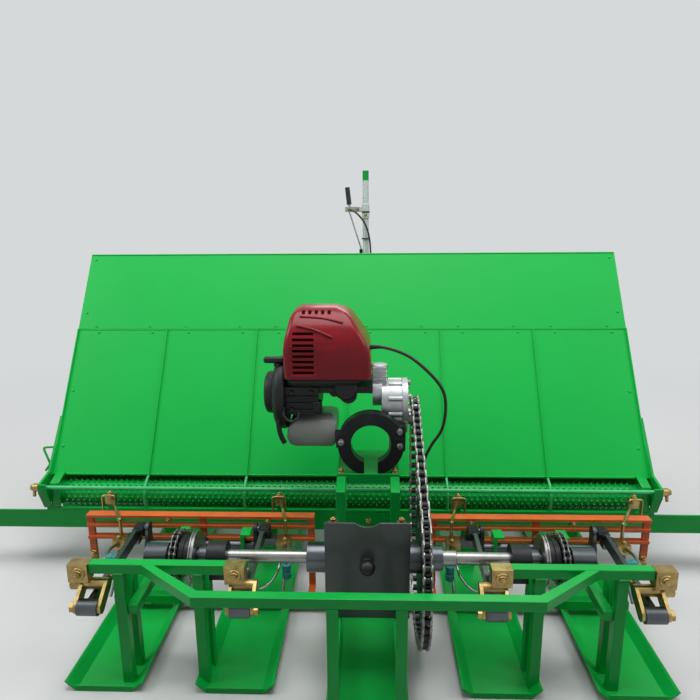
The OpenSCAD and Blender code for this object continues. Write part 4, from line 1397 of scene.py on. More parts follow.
@dataclass
class ChainDrive:
    """The roller chain on its two sprockets.

    Attributes:
        pitch: Chain pitch.
        big: Y and Z of the large sprocket's centre, and its teeth.
        small: Y and Z of the engine sprocket's centre, and its teeth.
        mid_x: Middle of the chain.
        slack: Hanging strand, behind the large sprocket's centre and up from the floor.
    """

    pitch: float = 15.875
    big: tuple[float, float, int] = (*SHAFT, 40)
    small: tuple[float, float, int] = (-340.0, 345.0, 11)
    mid_x: float = 84.0
    slack: tuple[tuple[float, float], ...] = (
        (-100, 140), (-85, 102), (-51, 68), (1, 42), (59, 31), (103, 40), (137, 62), (171, 104),
        (197, 165), (215, 235), (232, 310),
    )

    def radius(self, teeth: int) -> float:
        """Pitch radius of a sprocket."""
        return self.pitch / (2 * math.sin(math.pi / teeth))

    def rollers(self) -> list[Vector]:
        """Centres of the rollers round the loop, as Y and Z in mm."""
        big_r, small_r = self.radius(self.big[2]), self.radius(self.small[2])
        big_c, small_c = Vector(self.big[:2]), Vector(self.small[:2])
        way = small_c - big_c
        tangent = math.atan2(way.y, way.x) + math.acos((big_r - small_r) / way.length)
        big_step, small_step = math.tau / self.big[2], math.tau / self.small[2]
        big_wrap = math.floor((math.radians(190) - tangent) / big_step)
        small_wrap = 3
        on_big = [ring_spot(big_c, big_r, tangent + i * big_step) for i in range(big_wrap + 1)]
        on_small = [
            ring_spot(small_c, small_r, tangent - i * small_step)
            for i in range(small_wrap, -1, -1)
        ]
        hung = [Vector((self.big[0] + y, z)) for y, z in self.slack]
        path = smooth_path([on_big[-1], *hung, on_small[0]], 6)
        straight = round((on_small[-1] - on_big[0]).length / self.pitch)
        run = sum((b - a).length for a, b in zip(path, path[1:]))
        held = big_wrap + small_wrap + straight
        loose = 2 * round((run / self.pitch + held) / 2) - held
        return [
            *on_big, *even_points(path, loose), *on_small,
            *even_points([on_small[-1], on_big[0]], straight),
        ]

    def build(self) -> None:
        """Makes and dresses the chain."""
        chain = DRIVE_CHAIN.lay("drive_chain_links", self.rollers(), self.mid_x)
        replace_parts(dress(chain, None), "drive_chain")


@dataclass
class Engine:
    """Hood, recoil starter, tank and fittings of the small engine.

    Attributes:
        hood_low: Lowest corner of the hood's box.
        hood_edge: Height of the hood's lower edge.
        hood_high: Highest corner of the hood's box.
        crank: Y and Z of the crank axis.
        reducer: Y and Z of the reducer's axis.
    """

    hood_low: Point = (-144.0, -405.0, 411.0)
    hood_edge: float = 429.0
    hood_high: Point = (6.0, -275.0, 546.0)
    crank: tuple[float, float] = (-340.0, 388.0)
    reducer: tuple[float, float] = (-340.0, 372.0)

    def hood(self) -> Piece:
        """The moulded hood with its louvres and five small square holes."""
        x0, y0, z0 = self.hood_low
        x1, y1, z1 = self.hood_high
        levels = [
            (z0, x0 + 4, x1 - 2, y0 + 4, y1 - 4), (z0 + 8, x0 + 2, x1, y0 + 1, y1 - 1),
            (z0 + 43, x0 + 0.5, x1, y0, y1), (z0 + 67, x0, x1 - 3, y0 + 0.5, y1 - 0.5),
            (z0 + 86, x0 + 2.5, x1 - 12, y0 + 5, y1 - 4),
            (z0 + 103, x0 + 7, x1 - 23, y0 + 14, y1 - 9),
            (z0 + 117, x0 + 10, x1 - 32, y0 + 25, y1 - 15),
            (z0 + 127, x0 + 14, x1 - 41, y0 + 38, y1 - 24),
            (z1 - 0.5, x0 + 28, x1 - 62, y0 + 52, y1 - 38),
        ]
        body = lofted("engine_hood", levels, 10)
        cutters = [
            slab("edge", (x0 - 9, y0 - 9, z0 - 9), (170, 150, self.hood_edge - z0 + 9), 0),
            slab("recess", (x0 + 13, y0 - 4, z0 + 24), (44, 6.5, 50), 2.0),
        ]
        for i in range(8):
            z = z0 + 27 + i * 9.4
            lean = max(0.0, z - z0 - 60) * 0.6
            cutters.append(slab("slot", (x0 + 17, y0 - 3, z), (36, 27 + lean, 4.8), 0.8))
            cutters.append(slab("side_slot", (x0 - 3, y0 + 16, z), (9, 74, 5.4), 0.8))
        for i in range(5):
            cutters.append(
                slab("hole", (x0 + 31 + i * 11, y0 + 24, z0 + 124), (5.6, 26, 5.6), 0.5)
            )
        return cut(body, cutters)

    def shroud(self) -> Piece:
        """The black cowl between the hood's edge and the crankcase."""
        x0, y0, z0 = self.hood_low
        x1, y1 = self.hood_high[:2]
        levels = [
            (z0 - 1, x0 + 14, x1 - 28, y0 + 10, y1 - 12),
            (z0 + 6, x0 + 8, x1 - 20, y0 + 6, y1 - 8),
            (self.hood_edge + 0.5, x0 + 3, x1 - 3, y0 + 3, y1 - 3),
        ]
        lobe = [(0, -60), (17, -60), (20, -57), (20, -2), (17, 0), (0, 0)]
        placed_lobe = turned("lobe", lobe, 40, (-38, y0 + 66, z0 - 1), Axis.Y)
        return join("engine_shroud", [lofted("cowl", levels, 8), placed_lobe])

    def hood_ribs(self) -> Piece:
        """Two moulded ridges over the hood's shoulder."""
        x0, y0, z0 = self.hood_low
        upper = ((28, 30, 121), (68, 27, 118.5), (102, 20.5, 112))
        lower = ((24, 17, 108), (54, 12.5, 101.5), (84, 5.5, 90))
        lines = [[(x0 + x, y0 + y, z0 + z) for x, y, z in line] for line in (upper, lower)]
        return join("hood_ridges", [bent("ridge", line, 8, 5.0, 16) for line in lines])

    def recoil(self) -> Piece:
        """The recoil starter's housing, turned, with vents cut round its cone."""
        y, z = self.crank
        profile = [
            (0, -184), (30, -184), (36, -181), (38, -176), (38, -170), (43, -168), (57, -164.5),
            (63, -161), (65.5, -157), (65.8, -148), (64, -144.2), (0, -144.2),
        ]
        body = turned("recoil_housing", profile, 72, (0, y, z), Axis.X)
        vent = slab("vent", (-172, -2.6, 44), (8, 5.2, 13), 0.0)
        places = [
            Matrix.Translation(Vector((0, y, z)) * MM) @ Matrix.Rotation(math.tau * i / 18, 4, "X")
            for i in range(18)
        ]
        return cut(body, [copies("vents", vent, places)])

    def grip(self) -> Piece:
        """The pull grip on its rope guide."""
        y, z = self.crank
        parts = [
            slab("grip", (-182, y - 34, z + 61), (37, 14, 11), 4.5, 4),
            slab("guide", (-162, y - 32, z + 48), (10, 10, 14), 2.0, 3),
            turned(
                "collar", [(0, 0), (7.5, 0), (7.5, 3), (5, 5), (0, 5)], 20, (-157, y - 27, z + 56),
            ),
        ]
        return join("recoil_grip", parts)

    def tank(self) -> Piece:
        """The blow-moulded tank with its parting seam."""
        levels = [
            (299, -128, -64, -380, -300), (304, -138, -58, -386, -294),
            (318, -143.5, -55, -388, -292), (336, -141, -55, -388, -292),
            (348, -130, -57, -384, -306), (357, -117, -63, -370, -328),
        ]
        body = lofted("tank_shell", levels, 8)
        seam = [
            (-141, -339, 331), (-139, -386, 331), (-61, -387.2, 331), (-60, -340, 331),
            (-61, -292.8, 331), (-139, -294, 331), (-141, -339, 331),
        ]
        return join("fuel_tank_shell", [body, wire("seam", seam, 2.2, 8)])

    def trim(self) -> Piece:
        """The tank's black bracket and the lugs of the crankcase."""
        bracket = [
            (-150, -392, 376), (-155, -393, 358), (-155, -394, 338), (-151, -394, 322),
            (-146, -393, 311),
        ]
        parts = [bent("bracket", bracket, 5, 9, 16)]
        for z in (368, 380, 392):
            parts.append(slab("rib", (-143, -394, z), (56, 8, 4), 1.2))
        parts.append(slab("lug", (-96, -393, 364), (16, 20, 22), 3.0, 3))
        screws = ((-132, 402), (-98, 402), (-132, 371))
        heads = [facing_front(x, -390.2, z, 12) for x, z in screws]
        parts.append(copies("heads", hex_bolt(8, 3.4), heads))
        return join("crankcase_trim", parts)

    def hoses(self) -> Piece:
        """The short fuel hose that loops under the crankcase."""
        loop = [
            (-144, -399, 378), (-145, -402, 367), (-139, -403, 357), (-129, -403, 354),
            (-121, -402, 360), (-118, -399, 370),
        ]
        return bent("fuel_hose", loop, 6, 4.6, 12)

    def reducer_ribs(self) -> Piece:
        """Cooling ribs and bosses of the cast reducer."""
        parts = [slab("rib", (6.5, -359, z), (27, 38, 2.6), 0.8) for z in range(396, 429, 8)]
        profile = [(0, -2), (13, -2), (14.5, 0), (14.5, 5), (12, 6.5), (0, 6.5)]
        parts.append(turned("boss", profile, 36, (20, -340, 434)))
        pad = [(0, 36), (5, 36), (5, 60), (0, 60)]
        for y, z in ring_spots(self.reducer, 36.5, 8, 22.5):
            parts.append(turned("pad", pad, 14, (0, y, z), Axis.X))
        return join("reducer_casting", parts)

    def ring_trim(self) -> Piece:
        """Ribs and terminals on the clamp ring's side block."""
        parts = [slab("tab", (47, -400, z), (15, 5, 6), 1.2) for z in (305, 317, 329)]
        parts.append(slab("pad", (-57, -397, 312), (12, 6, 24), 2.0))
        return join("ring_trim", parts)

    def fittings(self) -> Piece:
        """Bolts of the clamp ring and the reducer flange."""
        screws = ((-47, 314, 10), (55, 334, 25), (55, 308, 5))
        places = [facing_front(x, -398, z, turn) for x, z, turn in screws]
        for i, (y, z) in enumerate(ring_spots(self.reducer, 34, 6, 30)):
            places.append(at(70, y, z, Axis.X, 11 * i))
        return copies("engine_bolts", hex_bolt(10, 4.2), places)

    def build(self) -> None:
        """Makes and dresses the engine's pieces."""
        hood = dress(self.hood(), RED_HOOD)
        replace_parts(hood, "engine_cover")
        dress(self.hood_ribs(), RED_HOOD)
        dress(self.shroud(), BLACK_NYLON)
        recoil = dress(self.recoil(), BLACK_NYLON)
        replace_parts(recoil, "recoil_starter")
        dress(self.grip(), BLACK_NYLON)
        tank = dress(self.tank(), TANK_POLY)
        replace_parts(tank, "fuel_tank")
        dress(self.trim(), BLACK_NYLON)
        dress(self.hoses(), GRIP_RUBBER)
        dress(self.reducer_ribs(), CAST_ALUMINIUM)
        dress(self.ring_trim(), BLACK_STEEL)
        dress(self.fittings(), DRAWN_STEEL)


@dataclass
class ThrottleCable:
    """The cable from the engine to the hand lever.

    Attributes:
        width: Diameter of its sleeve.
        engine_y: Y of the engine's crank axis.
        mast_y: Y of the mast.
        low: Points behind the crank axis: X, Y, Z.
        high: Points from the mast: X, Y, Z.
    """

    width: float = 6.0
    engine_y: float = -340.0
    mast_y: float = 672.5
    low: tuple[Point, ...] = (
        (7, 5, 470), (32, 6, 468), (72, 10, 452), (110, 15, 420), (136, 18, 386), (142, 18, 350),
        (136, 18, 310), (116, 20, 275), (104, 22, 240), (102, 22, 180), (102, 22, 120),
        (102, 26, 86), (102, 50, 60), (100, 110, 48), (92, 220, 46), (62, 290, 52), (34, 320, 90),
        (24, 328, 160), (20, 328, 250), (14, 336, 312), (6, 356, 334), (4, 400, 334),
        (4, 540, 372),
    )
    high: tuple[Point, ...] = (
        (4, -272.5, 434), (4, -72.5, 497), (4, -27.5, 530), (0, -19.5, 600), (-14, -18.5, 650),
        (-40, -17.5, 684), (-62, -12.5, 696),
    )

    def build(self) -> None:
        """Makes and dresses the cable and its cuff."""
        points = [Vector((x, y + self.engine_y, z)) for x, y, z in self.low]
        points += [Vector((x, y + self.mast_y, z)) for x, y, z in self.high]
        path = smooth_path(points, 6)
        cable = wire("throttle_cable_sleeve", path, self.width)
        cuff = [(0, 0), (4.2, 0), (4.6, 2), (4.6, 9), (3.9, 14), (3.1, 26), (0, 26)]
        near = turned("cable_cuff", cuff, 24, (-3, -335, 470), Axis.X)
        dress(cable, CABLE_SLEEVE)
        dress(near, BLACK_NYLON)
        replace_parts(cable, "throttle_cable")


@dataclass
class TimingDrives:
    """Discs, sprockets and small chains from the cross shaft to the cranks.

    Attributes:
        mid_x: Middle of a chain, from the middle of the machine.
        shaft: Y and Z of the cross shaft.
        crank: Y and Z of the crank shaft.
        shaft_teeth: Teeth on the cross shaft.
        crank_teeth: Teeth on the crank shaft.
    """

    mid_x: float = 295.0
    shaft: tuple[float, float] = SHAFT
    crank: tuple[float, float] = (-426.0, 130.0)
    shaft_teeth: int = 24
    crank_teeth: int = 11

    def spots(self) -> list[Vector]:
        """Roller centres round both sprockets, as Y and Z in mm."""
        size = TIMING_CHAIN
        big_r = size.pitch / (2 * math.sin(math.pi / self.shaft_teeth))
        small_r = size.pitch / (2 * math.sin(math.pi / self.crank_teeth))
        big_c, small_c = Vector(self.shaft), Vector(self.crank)
        way = small_c - big_c
        head = math.atan2(way.y, way.x)
        spread = math.acos((big_r - small_r) / way.length)
        path = []
        for k in range(41):
            angle = head + spread + (math.tau - 2 * spread) * k / 40
            path.append(ring_spot(big_c, big_r, angle))
        for k in range(25):
            angle = head - spread + 2 * spread * k / 24
            path.append(ring_spot(small_c, small_r, angle))
        path.append(path[0])
        run = sum((b - a).length for a, b in zip(path, path[1:]))
        count = 2 * round(run / size.pitch / 2)
        return [path[0], *even_points(path, count)]

    def discs(self, side: int) -> Piece:
        """The clutch discs and sprockets of one side, turned in steps.

        Args:
            side: -1 for the left, 1 for the right.

        Returns:
            The discs.
        """
        wheel = [
            (10.1, 264), (38, 264), (39, 265), (39, 267), (37.2, 267.8), (37.2, 268.6),
            (39, 269.2), (39, 271), (38, 272), (31, 272), (29.2, 273), (29.8, 275), (29.8, 279),
            (28.6, 279.6), (28.6, 281), (30, 281.6), (30, 289), (29, 290), (18, 290), (17.5, 303),
            (10.1, 303), (10.1, 264),
        ]
        hub = [(9.1, 287), (13, 287), (13, 303), (9.1, 303), (9.1, 287)]
        parts = [
            turned("wheel", [(r, side * x) for r, x in wheel], 64, (0, *self.shaft), Axis.X),
            turned("hub", [(r, side * x) for r, x in hub], 40, (0, *self.crank), Axis.X),
        ]
        for teeth, (y, z) in ((self.shaft_teeth, self.shaft), (self.crank_teeth, self.crank)):
            disc = toothed("sprocket", teeth, TIMING_CHAIN.pitch, 4)
            parts.append(placed(disc, at(side * self.mid_x, y, z, Axis.X)))
        return join("timing_discs_" + ("right" if side > 0 else "left"), parts)

    def build(self) -> None:
        """Makes and dresses both sides."""
        for side, word in ((-1, "left"), (1, "right")):
            discs = dress(self.discs(side), BLACK_STEEL)
            # The rim of the wheel on the shaft is bare
            rim = sorted((side * 263.5, side * 272.3))
            Zone(DRAWN_STEEL, (rim[0], -590, 144), (rim[1], -508, 226)).paint(discs)
            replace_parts(discs, "timing_drive_" + word)
            chain = TIMING_CHAIN.lay("timing_chain_" + word, self.spots(), side * self.mid_x)
            dress(chain, None)


@dataclass
class PlantingArms:
    """Caps, pins, bushes, rods and bolts of the four planting arms.

    Attributes:
        arms: Each arm's place from the middle, and its claw's.
        knob: Y and Z of the crank knobs.
    """

    arms: tuple[tuple[float, float], ...] = ((405.0, 442.0), (183.0, 146.0))
    knob: tuple[float, float] = (-422.0, 160.0)

    def on_knobs(self, name: str, model: Piece, turn_deg: float = 0.0) -> Piece:
        """Sets a model on all four crank knobs."""
        y, z = self.knob
        spots = [side * x for side in SIDES for x, _ in self.arms]
        return copies(name, model, [at(x, y, z - 3, Axis.Z, turn_deg) for x in spots])

    def caps(self) -> Piece:
        """Domed black caps over the crank knobs."""
        dome = [
            (0, 9.6), (6, 9.4), (9.4, 8.4), (11, 6.2), (11.4, 3.4), (10.8, 2.6), (10.8, 1.2),
            (12.6, 0.4), (13, -8), (0, -8),
        ]
        return self.on_knobs("knob_caps", turned("cap", dome, 32))

    def covers(self) -> Piece:
        """Screwed lids in the caps' tops."""
        lid = [(0, 11.2), (3.4, 11.2), (3.8, 10.4), (6.8, 10.6), (7.6, 10), (7.8, 8.8), (0, 8.8)]
        return self.on_knobs("knob_lids", turned("lid", lid, 6), 15)

    def pins(self) -> Piece:
        """Lower ends of the guide rods, down to the claw casings."""
        spots = [side * claw for side in SIDES for _, claw in self.arms]
        return join(
            "claw_pins", [wire("pin", [(x, -418, 141), (x, -418, 158)], 6, 16) for x in spots],
        )

    def bushes(self) -> Piece:
        """Teal bushes that cushion the claw rods."""
        sleeve = [
            (3.2, 0), (6.6, 0), (7.6, 1), (7.6, 10), (6.8, 11), (6.8, 15), (7.6, 16), (7.6, 25),
            (6.6, 26), (3.2, 26), (3.2, 0),
        ]
        model = turned("bush", sleeve, 24)
        places = [at(side * 136, -488, 108) for side in SIDES]
        places += [at(x, -498, 146, Axis.X) for x in (409, -435)]
        return copies("claw_bushes", model, places)

    def rods(self) -> Piece:
        """Pusher rods through the bushes and curved fingers beside them."""
        inner = (
            (146, -437, 137), (143, -462, 146), (138, -482, 144), (136, -488, 136),
            (136, -488, 104),
        )
        finger = (
            (144, -440, 138), (148, -486, 131), (151, -497, 122), (158, -507, 114),
            (168, -515, 108), (177, -519, 106),
        )
        outer = ((404, -498, 146), (441, -498, 146))
        link_rod = ((442, -437, 137), (441, -470, 146), (441, -498, 146))
        parts = []
        for side in SIDES:
            for half, wide in ((inner, 5.4), (finger, 4.2), (outer, 5.6), (link_rod, 5.0)):
                line = [(side * x, y, z) for x, y, z in half]
                straight = len(line) == 2
                parts.append(wire("rod", line, wide) if straight else bent("rod", line, 5, wide))
        return join("claw_rods", parts)

    def bolts(self) -> Piece:
        """Bolts of the claw casings and the arm bars."""
        places = []
        for side in SIDES:
            for x, claw in self.arms:
                places.append(facing_front(side * claw, -438, 134, 12))
                places.append(at(side * claw, -430, 143, Axis.Z, 20))
                outward = 1 if side * (claw - x) < 0 else -1
                for y, z in ((-560, 153.4), (-540, 154.4)):
                    face = at(side * x + outward * 3.5, y, z, Axis.X, 8)
                    places.append(face if outward > 0 else face @ FLIP)
        return copies("arm_bolts", hex_bolt(8.5, 3.4, 1.6), places)

    def block_bolts(self) -> Piece:
        """Large bolts with rings on the front of the beam end blocks."""
        places = [facing_front(side * x, -614, 192, 15) for side in SIDES for x in (425, 194)]
        ring = turned("ring", [(0, 0), (9.5, 0), (10, 0.6), (9.4, 1.4), (0, 1.4)], 28)
        rings = copies("rings", ring, places)
        raised = [place @ Matrix.Translation((0, 0, 1.2 * MM)) for place in places]
        return join("block_bolts", [rings, copies("heads", hex_bolt(10, 4, 1.6), raised)])

    def build(self) -> None:
        """Makes and dresses the arms' pieces."""
        dress(self.caps(), BLACK_NYLON)
        dress(self.covers(), BLACK_STEEL)
        dress(self.pins(), YELLOW_ZINC)
        dress(self.bushes(), TEAL_BUSH)
        dress(self.rods(), DRAWN_STEEL)
        dress(self.bolts(), YELLOW_ZINC)
        dress(self.block_bolts(), YELLOW_ZINC)


@dataclass
class GearCase:
    """The gearbox with its front plate.

    Attributes:
        half: Half the plate's width.
        plate_y: Front of the plate.
        plate_t: Its thickness.
        low_z: Underside of the case.
        top_z: Top of the plate.
        shaft: Y and Z of the cross shaft.
    """

    half: float = 62.5
    plate_y: float = -599.0
    plate_t: float = 4.0
    low_z: float = 114.2
    top_z: float = 270.0
    shaft: tuple[float, float] = SHAFT

    def plate(self) -> Piece:
        """The front plate with the shallow notch in its top edge."""
        blank = slab(
            "gearbox_plate", (-self.half, self.plate_y, self.low_z),
            (2 * self.half, self.plate_t, self.top_z - self.low_z), 0.9,
        )
        round_cut = [(0, -5), (28, -5), (28, 9), (0, 9)]
        notch = turned("notch", round_cut, 96, (0, self.plate_y, self.top_z + 21), Axis.Y)
        return cut(blank, [notch])

    def case(self) -> Piece:
        """The case behind the plate, with bosses, ribs and the bolts' lugs."""
        y, z = self.shaft
        low, rear = self.low_z + 2, self.plate_y + self.plate_t
        parts = [slab("case", (-56, rear, low), (112, 92, 212 - low), 5, 4)]
        for side in SIDES:
            boss = [(0, 50), (28, 50), (28, 59), (26, 62.6), (0, 62.6)]
            flipped = [(r, side * x) for r, x in boss]
            parts.append(turned("boss", flipped, 56, (0, y, z), Axis.X))
            parts.append(slab("lug", (side * 50 - 8, rear, 236), (16, 13, 31), 2.5, 3))
            parts.append(slab("rib", (side * 30 - 3, rear + 4, 209), (6, 84, 7), 1.6))
            for step in (-30, 30):
                parts.append(
                    slab("rib", (side * 57 - 2.5, y + step - 3, low + 6), (5, 6, 84), 1.4)
                )
        cap = [(0, 209), (13, 209), (13, 217), (10, 219), (0, 219)]
        parts.append(turned("filler", cap, 6, (0, y + 10, 0)))
        return join("gearbox_case", parts)

    def plug(self) -> Piece:
        """The round black plug on the front of the plate."""
        profile = [
            (0, -23.5), (4.5, -22.8), (8.5, -20.2), (11, -15.8), (11.6, -11), (10.4, -6), (8, -3),
            (9, -1.6), (9, 0.4), (0, 0.4),
        ]
        return turned("gearbox_plug", profile, 40, (0, self.plate_y, 206), Axis.Y)

    def build(self) -> None:
        """Makes and dresses the gearbox."""
        plate = dress(self.plate(), GREY_CASE)
        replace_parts(plate, "gearbox")
        dress(self.case(), GREY_CASE)
        dress(self.plug(), BLACK_NYLON)


@dataclass
class ClampStaples:
    """Bent zinc staples before the slide bar's clamps.

    Attributes:
        places: Where the clamps stand, from the middle.
        front_y: Front of a clamp.
        top_z: Top of a staple.
    """

    places: tuple[float, ...] = CLAMPS
    front_y: float = -331.0
    top_z: float = 176.5

    def build(self) -> None:
        """Makes and dresses the staples."""
        y, z = self.front_y, self.top_z
        half = [
            (5, y + 11, 138), (11, y + 1, 141), (12, y, 148), (12, y, z - 5), (10, y, z - 1),
            (5, y, z),
        ]
        parts = []
        for x in self.places:
            line = [(x - dx, y, z) for dx, y, z in half]
            line += [(x + dx, y, z) for dx, y, z in reversed(half)]
            parts.append(bent("staple", line, 3, 4.2))
        dress(join("clamp_staples", parts), YELLOW_ZINC)


@dataclass
class Fastenings:
    """Bolts, weld beads and post ties of the frame.

    Attributes:
        beam_y: Front face of the beams.
        top_z: Top of the planting frame.
    """

    beam_y: float = -610.0
    top_z: float = 206.0

    def frame_bolts(self) -> Piece:
        """Bolts on the bearings' feet, the brackets, the stand and the rail."""
        places = []
        for side in SIDES:
            places += [at(side * x, -566, 170, Axis.Z, 14) for x in (224, 252)]
            places += [at(side * 47, y, 256, Axis.Z, 9) for y in (-392, -300)]
            for x in (499, 170):
                places.append(at(side * x, -321, 173, Axis.Z, 21))
            for x in (400, 200):
                places.append(facing_front(side * x, -291, 105, 6))
            for x in (103, 507 if side < 0 else 494):
                places.append(facing_front(side * x, -395, 92, 17))
        places.append(facing_front(0, -291, 105, 6))
        return copies("frame_bolts", hex_bolt(11, 4.6, 2.4), places)

    def case_bolts(self) -> Piece:
        """Bolts on top of the gearbox plate and round the large sprocket's hub."""
        places = [at(x, -588, 267, Axis.Z, 12) for x in (-50, 50)]
        for i, (y, z) in enumerate(ring_spots(SHAFT, 28, 5, 18)):
            places.append(at(87, y, z, Axis.X, 11 * i))
        return copies("case_bolts", hex_bolt(9.5, 4.2, 1.8), places)

    def welds(self) -> Piece:
        """Rippled weld beads at the frame's corners."""
        length, ripple = 15.0, 2.1
        count = int(length / ripple)
        profile = [(0, -length / 2)]
        for i in range(count + 1):
            along = -length / 2 + i * ripple
            profile += [(1.5, along), (2.3, along + ripple * 0.5)]
        profile.append((0, length / 2 + 1))
        model = turned("bead", profile, 10)
        low = self.top_z - 16
        places = []
        for side in SIDES:
            for x in (368, 250):
                places.append(at(side * x, self.beam_y, low, Axis.X))
                places.append(at(side * x, self.beam_y + 16, low, Axis.X))
                for edge in (-8, 8):
                    places.append(at(side * x + edge, self.beam_y + 8, low, Axis.Y))
            places.append(at(side * 47, -669, low, Axis.X))
            for edge in (-8, 8):
                places.append(at(side * 47 + edge, -426, 32, Axis.Y))
            for x in (400, 200):
                places.append(at(side * x, -434, 16, Axis.X))
                places.append(at(side * x, -418, 16, Axis.X))
            places.append(at(side * 47, -410, 238, Axis.X))
        return copies("frame_welds", model, places)

    def post_ties(self) -> Piece:
        """Lengthwise tubes welded between the front and second outer posts."""
        lows = [(side * 352 - 8, self.beam_y + 4, 120) for side in SIDES]
        return join("post_ties", [slab("tie", low, (16, 98, 16), 1.6, 3) for low in lows])

    def build(self) -> None:
        """Makes and dresses the fastenings."""
        dress(self.post_ties(), GREEN_ENAMEL)
        dress(self.frame_bolts(), YELLOW_ZINC)
        dress(self.case_bolts(), YELLOW_ZINC)
        dress(self.welds(), WELD_BEAD)


@dataclass
class Floats:
    """Rolled hems along the floats' rims.

    Attributes:
        pitch: Spacing of the floats.
        half: Half a float's width over its rims.
        rim_z: Height of the rims.
        tail_y: Tail of an outer float.
        long_tail: Extra length of the centre float's tail.
        run: Length of the flat run.
        nose: Length of the nose.
        nose_deg: Its rise.
    """

    pitch: float = 200.0
    half: float = 60.0
    rim_z: float = 16.0
    tail_y: float = -626.0
    long_tail: float = 59.0
    run: float = 710.0
    nose: float = 90.0
    nose_deg: float = 28.0

    def build(self) -> None:
        """Makes and dresses the hems."""
        parts = []
        lean = math.radians(self.nose_deg)
        for i in range(-2, 3):
            tail = self.tail_y - (self.long_tail if i == 0 else 0) + 1
            bend = self.tail_y + self.run
            for side in SIDES:
                x = i * self.pitch + side * (self.half - 1.6)
                bend_y = bend - self.rim_z * math.sin(lean) / (1 + math.cos(lean))
                tip = self.nose - 1 - self.rim_z * math.tan(lean / 2)
                end = (x, bend_y + tip * math.cos(lean), self.rim_z + tip * math.sin(lean))
                line = [(x, tail, self.rim_z - 0.6), (x, bend_y, self.rim_z - 0.6), end]
                parts.append(wire("hem", line, 3.2, 12))
        dress(join("float_hems", parts), GREEN_FLOAT)


@dataclass
class HandControls:
    """Grip and bolts of the clutch lever, and the cable's clips.

    Attributes:
        grip_from: Lower end of the grip.
        grip_to: Its upper end.
    """

    grip_from: Point = (-66.8, 672.5, 713.0)
    grip_to: Point = (-73.0, 672.5, 768.5)

    def grip(self) -> Piece:
        """The ribbed rubber sleeve."""
        length = (Vector(self.grip_to) - Vector(self.grip_from)).length
        profile = [(0, 0), (6.6, 0), (8.4, 1.2), (8.4, 4), (7.0, 5)]
        along = 6.0
        while along < length - 8:
            profile += [(7.0, along), (7.6, along + 0.8), (7.6, along + 2.4), (7.0, along + 3.2)]
            along += 4.2
        profile += [(7.6, length - 5), (7.2, length - 2), (5.4, length - 0.4), (0, length)]
        sleeve = turned("lever_grip", profile, 28)
        return placed(sleeve, aimed(self.grip_from, self.grip_to))

    def clips(self) -> Piece:
        """Clips that hold the cable on the mast, and the mast's eye lug."""
        ring = [(12.4, -2), (13.4, -2), (13.4, 2), (12.4, 2), (12.4, -2)]
        model = turned("clip", ring, 32)
        rings = copies("clips", model, [at(-13, 671.4, z) for z in (604, 690)])
        eye = slab("eye", (-34, 667, 556), (10.6, 10, 14), 2.4, 3)
        return join("mast_clips", [rings, eye])

    def bolts(self) -> Piece:
        """The lever's pivot bolt and the sleeve's locking bolts."""
        places = [
            facing_front(-67, 668.5, 698, 10), facing_front(-40, 668.5, 698, 25),
            facing_front(-13, 660.5, 680, 5),
        ]
        return copies("lever_bolts", hex_bolt(9, 3.6, 1.4), places)

    def build(self) -> None:
        """Makes and dresses the controls."""
        dress(self.grip(), GRIP_RUBBER)
        dress(self.clips(), BLACK_NYLON)
        dress(self.bolts(), YELLOW_ZINC)


@dataclass
class SlideBarEnds:
    """Locknuts and rod ends of the thin slide bar, which ride on the tray.

    Attributes:
        middle: The tray's middle.
        plate_x: Outer face of an end plate from that middle.
        axis_y: Y of the bar.
        axis_z: Z of the bar.
    """

    middle: float = -45.0
    plate_x: float = 605.0
    axis_y: float = -298.0
    axis_z: float = 176.0

    def build(self) -> None:
        """Makes and dresses both ends."""
        nuts, eyes = [], []
        for side in SIDES:
            spot = at(
                self.middle + side * (self.plate_x + 12), self.axis_y, self.axis_z, Axis.X, 9,
            )
            nuts.append(spot if side > 0 else spot @ FLIP)
            x = self.middle + side * (self.plate_x + 9)
            eyes.append(
                [(x, self.axis_y - 4, self.axis_z - 6), (x, self.axis_y - 7, self.axis_z - 16)]
            )
        parts = [copies("nuts", hex_bolt(12, 4), nuts)]
        parts += [wire("tail", line, 6, 16) for line in eyes]
        dress(join("slide_bar_nuts", parts), YELLOW_ZINC, Body.TRAY)


# CAD nodes of thin flat sheet, which stay as they are
KEPT_NODES = ("tray_upper_panel", "tray_lower_panel", "tray_dividers")
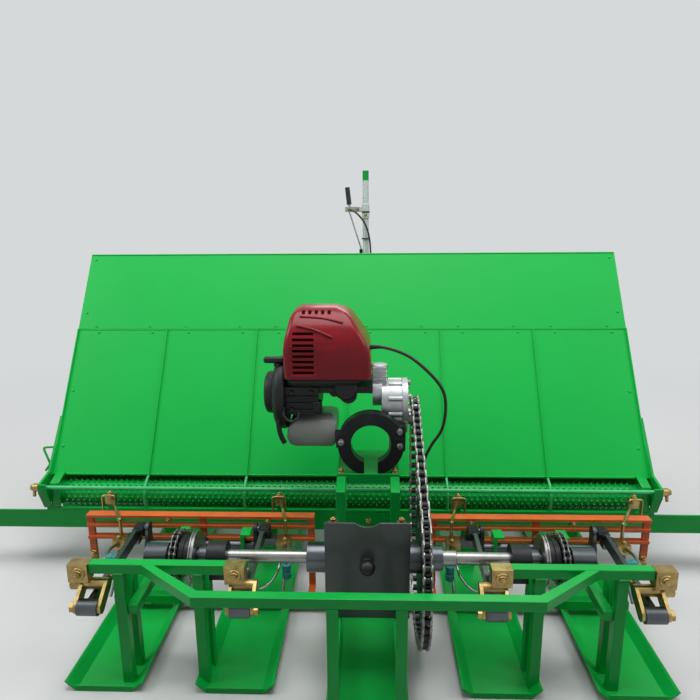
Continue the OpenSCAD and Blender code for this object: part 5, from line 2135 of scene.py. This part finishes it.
# CAD nodes that rounded copies stand in for: finish, slot, radius in mm and the nodes
ROUNDED_NODES = (
    (
        GREEN_FLOAT, Slot.GREEN, 0.5,
        "float_outer_left float_inner_left float_centre float_inner_right float_outer_right",
    ),
    (
        GREEN_ENAMEL, Slot.GREEN, 1.2,
        "cross_tubes planter_bar beams planter_posts centre_posts gearbox_bearers",
    ),
    (OILED_STEEL, Slot.STEEL, 0.8, "cross_shaft_left cross_shaft_right"),
    (BLACK_STEEL, Slot.DARK, 1.0, "bearing_housings"),
    (OILED_STEEL, Slot.STEEL, 0.6, "crank_shafts"),
    (GREEN_ENAMEL, Slot.GREEN, 0.8, "crank_brackets"),
    (OILED_STEEL, Slot.STEEL, 0.8, " ".join("planting_arm_" + word for word in ARMS)),
    (YELLOW_ZINC, Slot.ZINC, 0.8, " ".join("rocker_" + word for word in ARMS) + " bar_guides"),
    (ORANGE_ENAMEL, Slot.ORANGE, 0.6, "fence_left fence_right"),
    (GREEN_ENAMEL, Slot.GREEN, 0.8, "rail rail_brackets"),
    (GREEN_ENAMEL, Slot.GREEN, 1.0, "engine_stand"), (BLACK_STEEL, Slot.BLACK, 1.0, "mount_ring"),
    (BLACK_NYLON, Slot.BLACK, 1.2, "engine_block"),
    (CAST_ALUMINIUM, Slot.CAST, 1.2, "clutch_housing"),
    (BLACK_STEEL, Slot.BLACK, 0.4, "drive_sprocket"),
    (DRAWN_STEEL, Slot.STEEL, 0.4, "engine_sprocket"),
    (GREEN_ENAMEL, Slot.GREEN, 1.0, "tray_guide"), (GREEN_ENAMEL, Slot.GREEN, 1.2, "drawbar"),
    (CAST_ALUMINIUM, Slot.ZINC, 0.6, "hand_lever"), (GREEN_ENAMEL, Slot.GREEN, 0.8, "tray_frame"),
    (GREEN_ENAMEL, Slot.GREEN, 0.6, "tray_sides tray_runner"),
    # The lane rods and the slide bar take the pale green, which is a painted highlight
    (PALE_GREEN_PAINTED_HIGHLIGHT, Slot.GREEN, 0.0, "lane_rods"), (BLACK_NYLON, Slot.BLACK, 0.8, "tray_shoes"),
    (PALE_GREEN_PAINTED_HIGHLIGHT, Slot.GREEN, 0.4, "slide_bar"),
)


def dress_frame() -> None:
    """Finishes the CAD nodes that no new piece stands for."""
    for node in KEPT_NODES:
        keep(node, GREEN_SHEET)
    for finish, slot, edge, nodes in ROUNDED_NODES:
        for node in nodes.split():
            rounded(node, finish, edge)


def main() -> None:
    """Builds the machine's sub-assemblies in order."""
    logging.basicConfig(level=logging.INFO, format="%(name)s: %(message)s")
    Studio().build()
    ThrottleCable().build()
    for assembly in (
        Floats(), GearCase(), ClampStaples(), Fastenings(), TimingDrives(), PlantingArms(),
        ChainDrive(), Engine(), SeedlingTray(), SpikedRoller(), SlideBarEnds(), HandControls(),
    ):
        LOG.info("building %s", type(assembly).__name__)
        assembly.build()
    dress_frame()


if __name__ == "__main__":
    main()
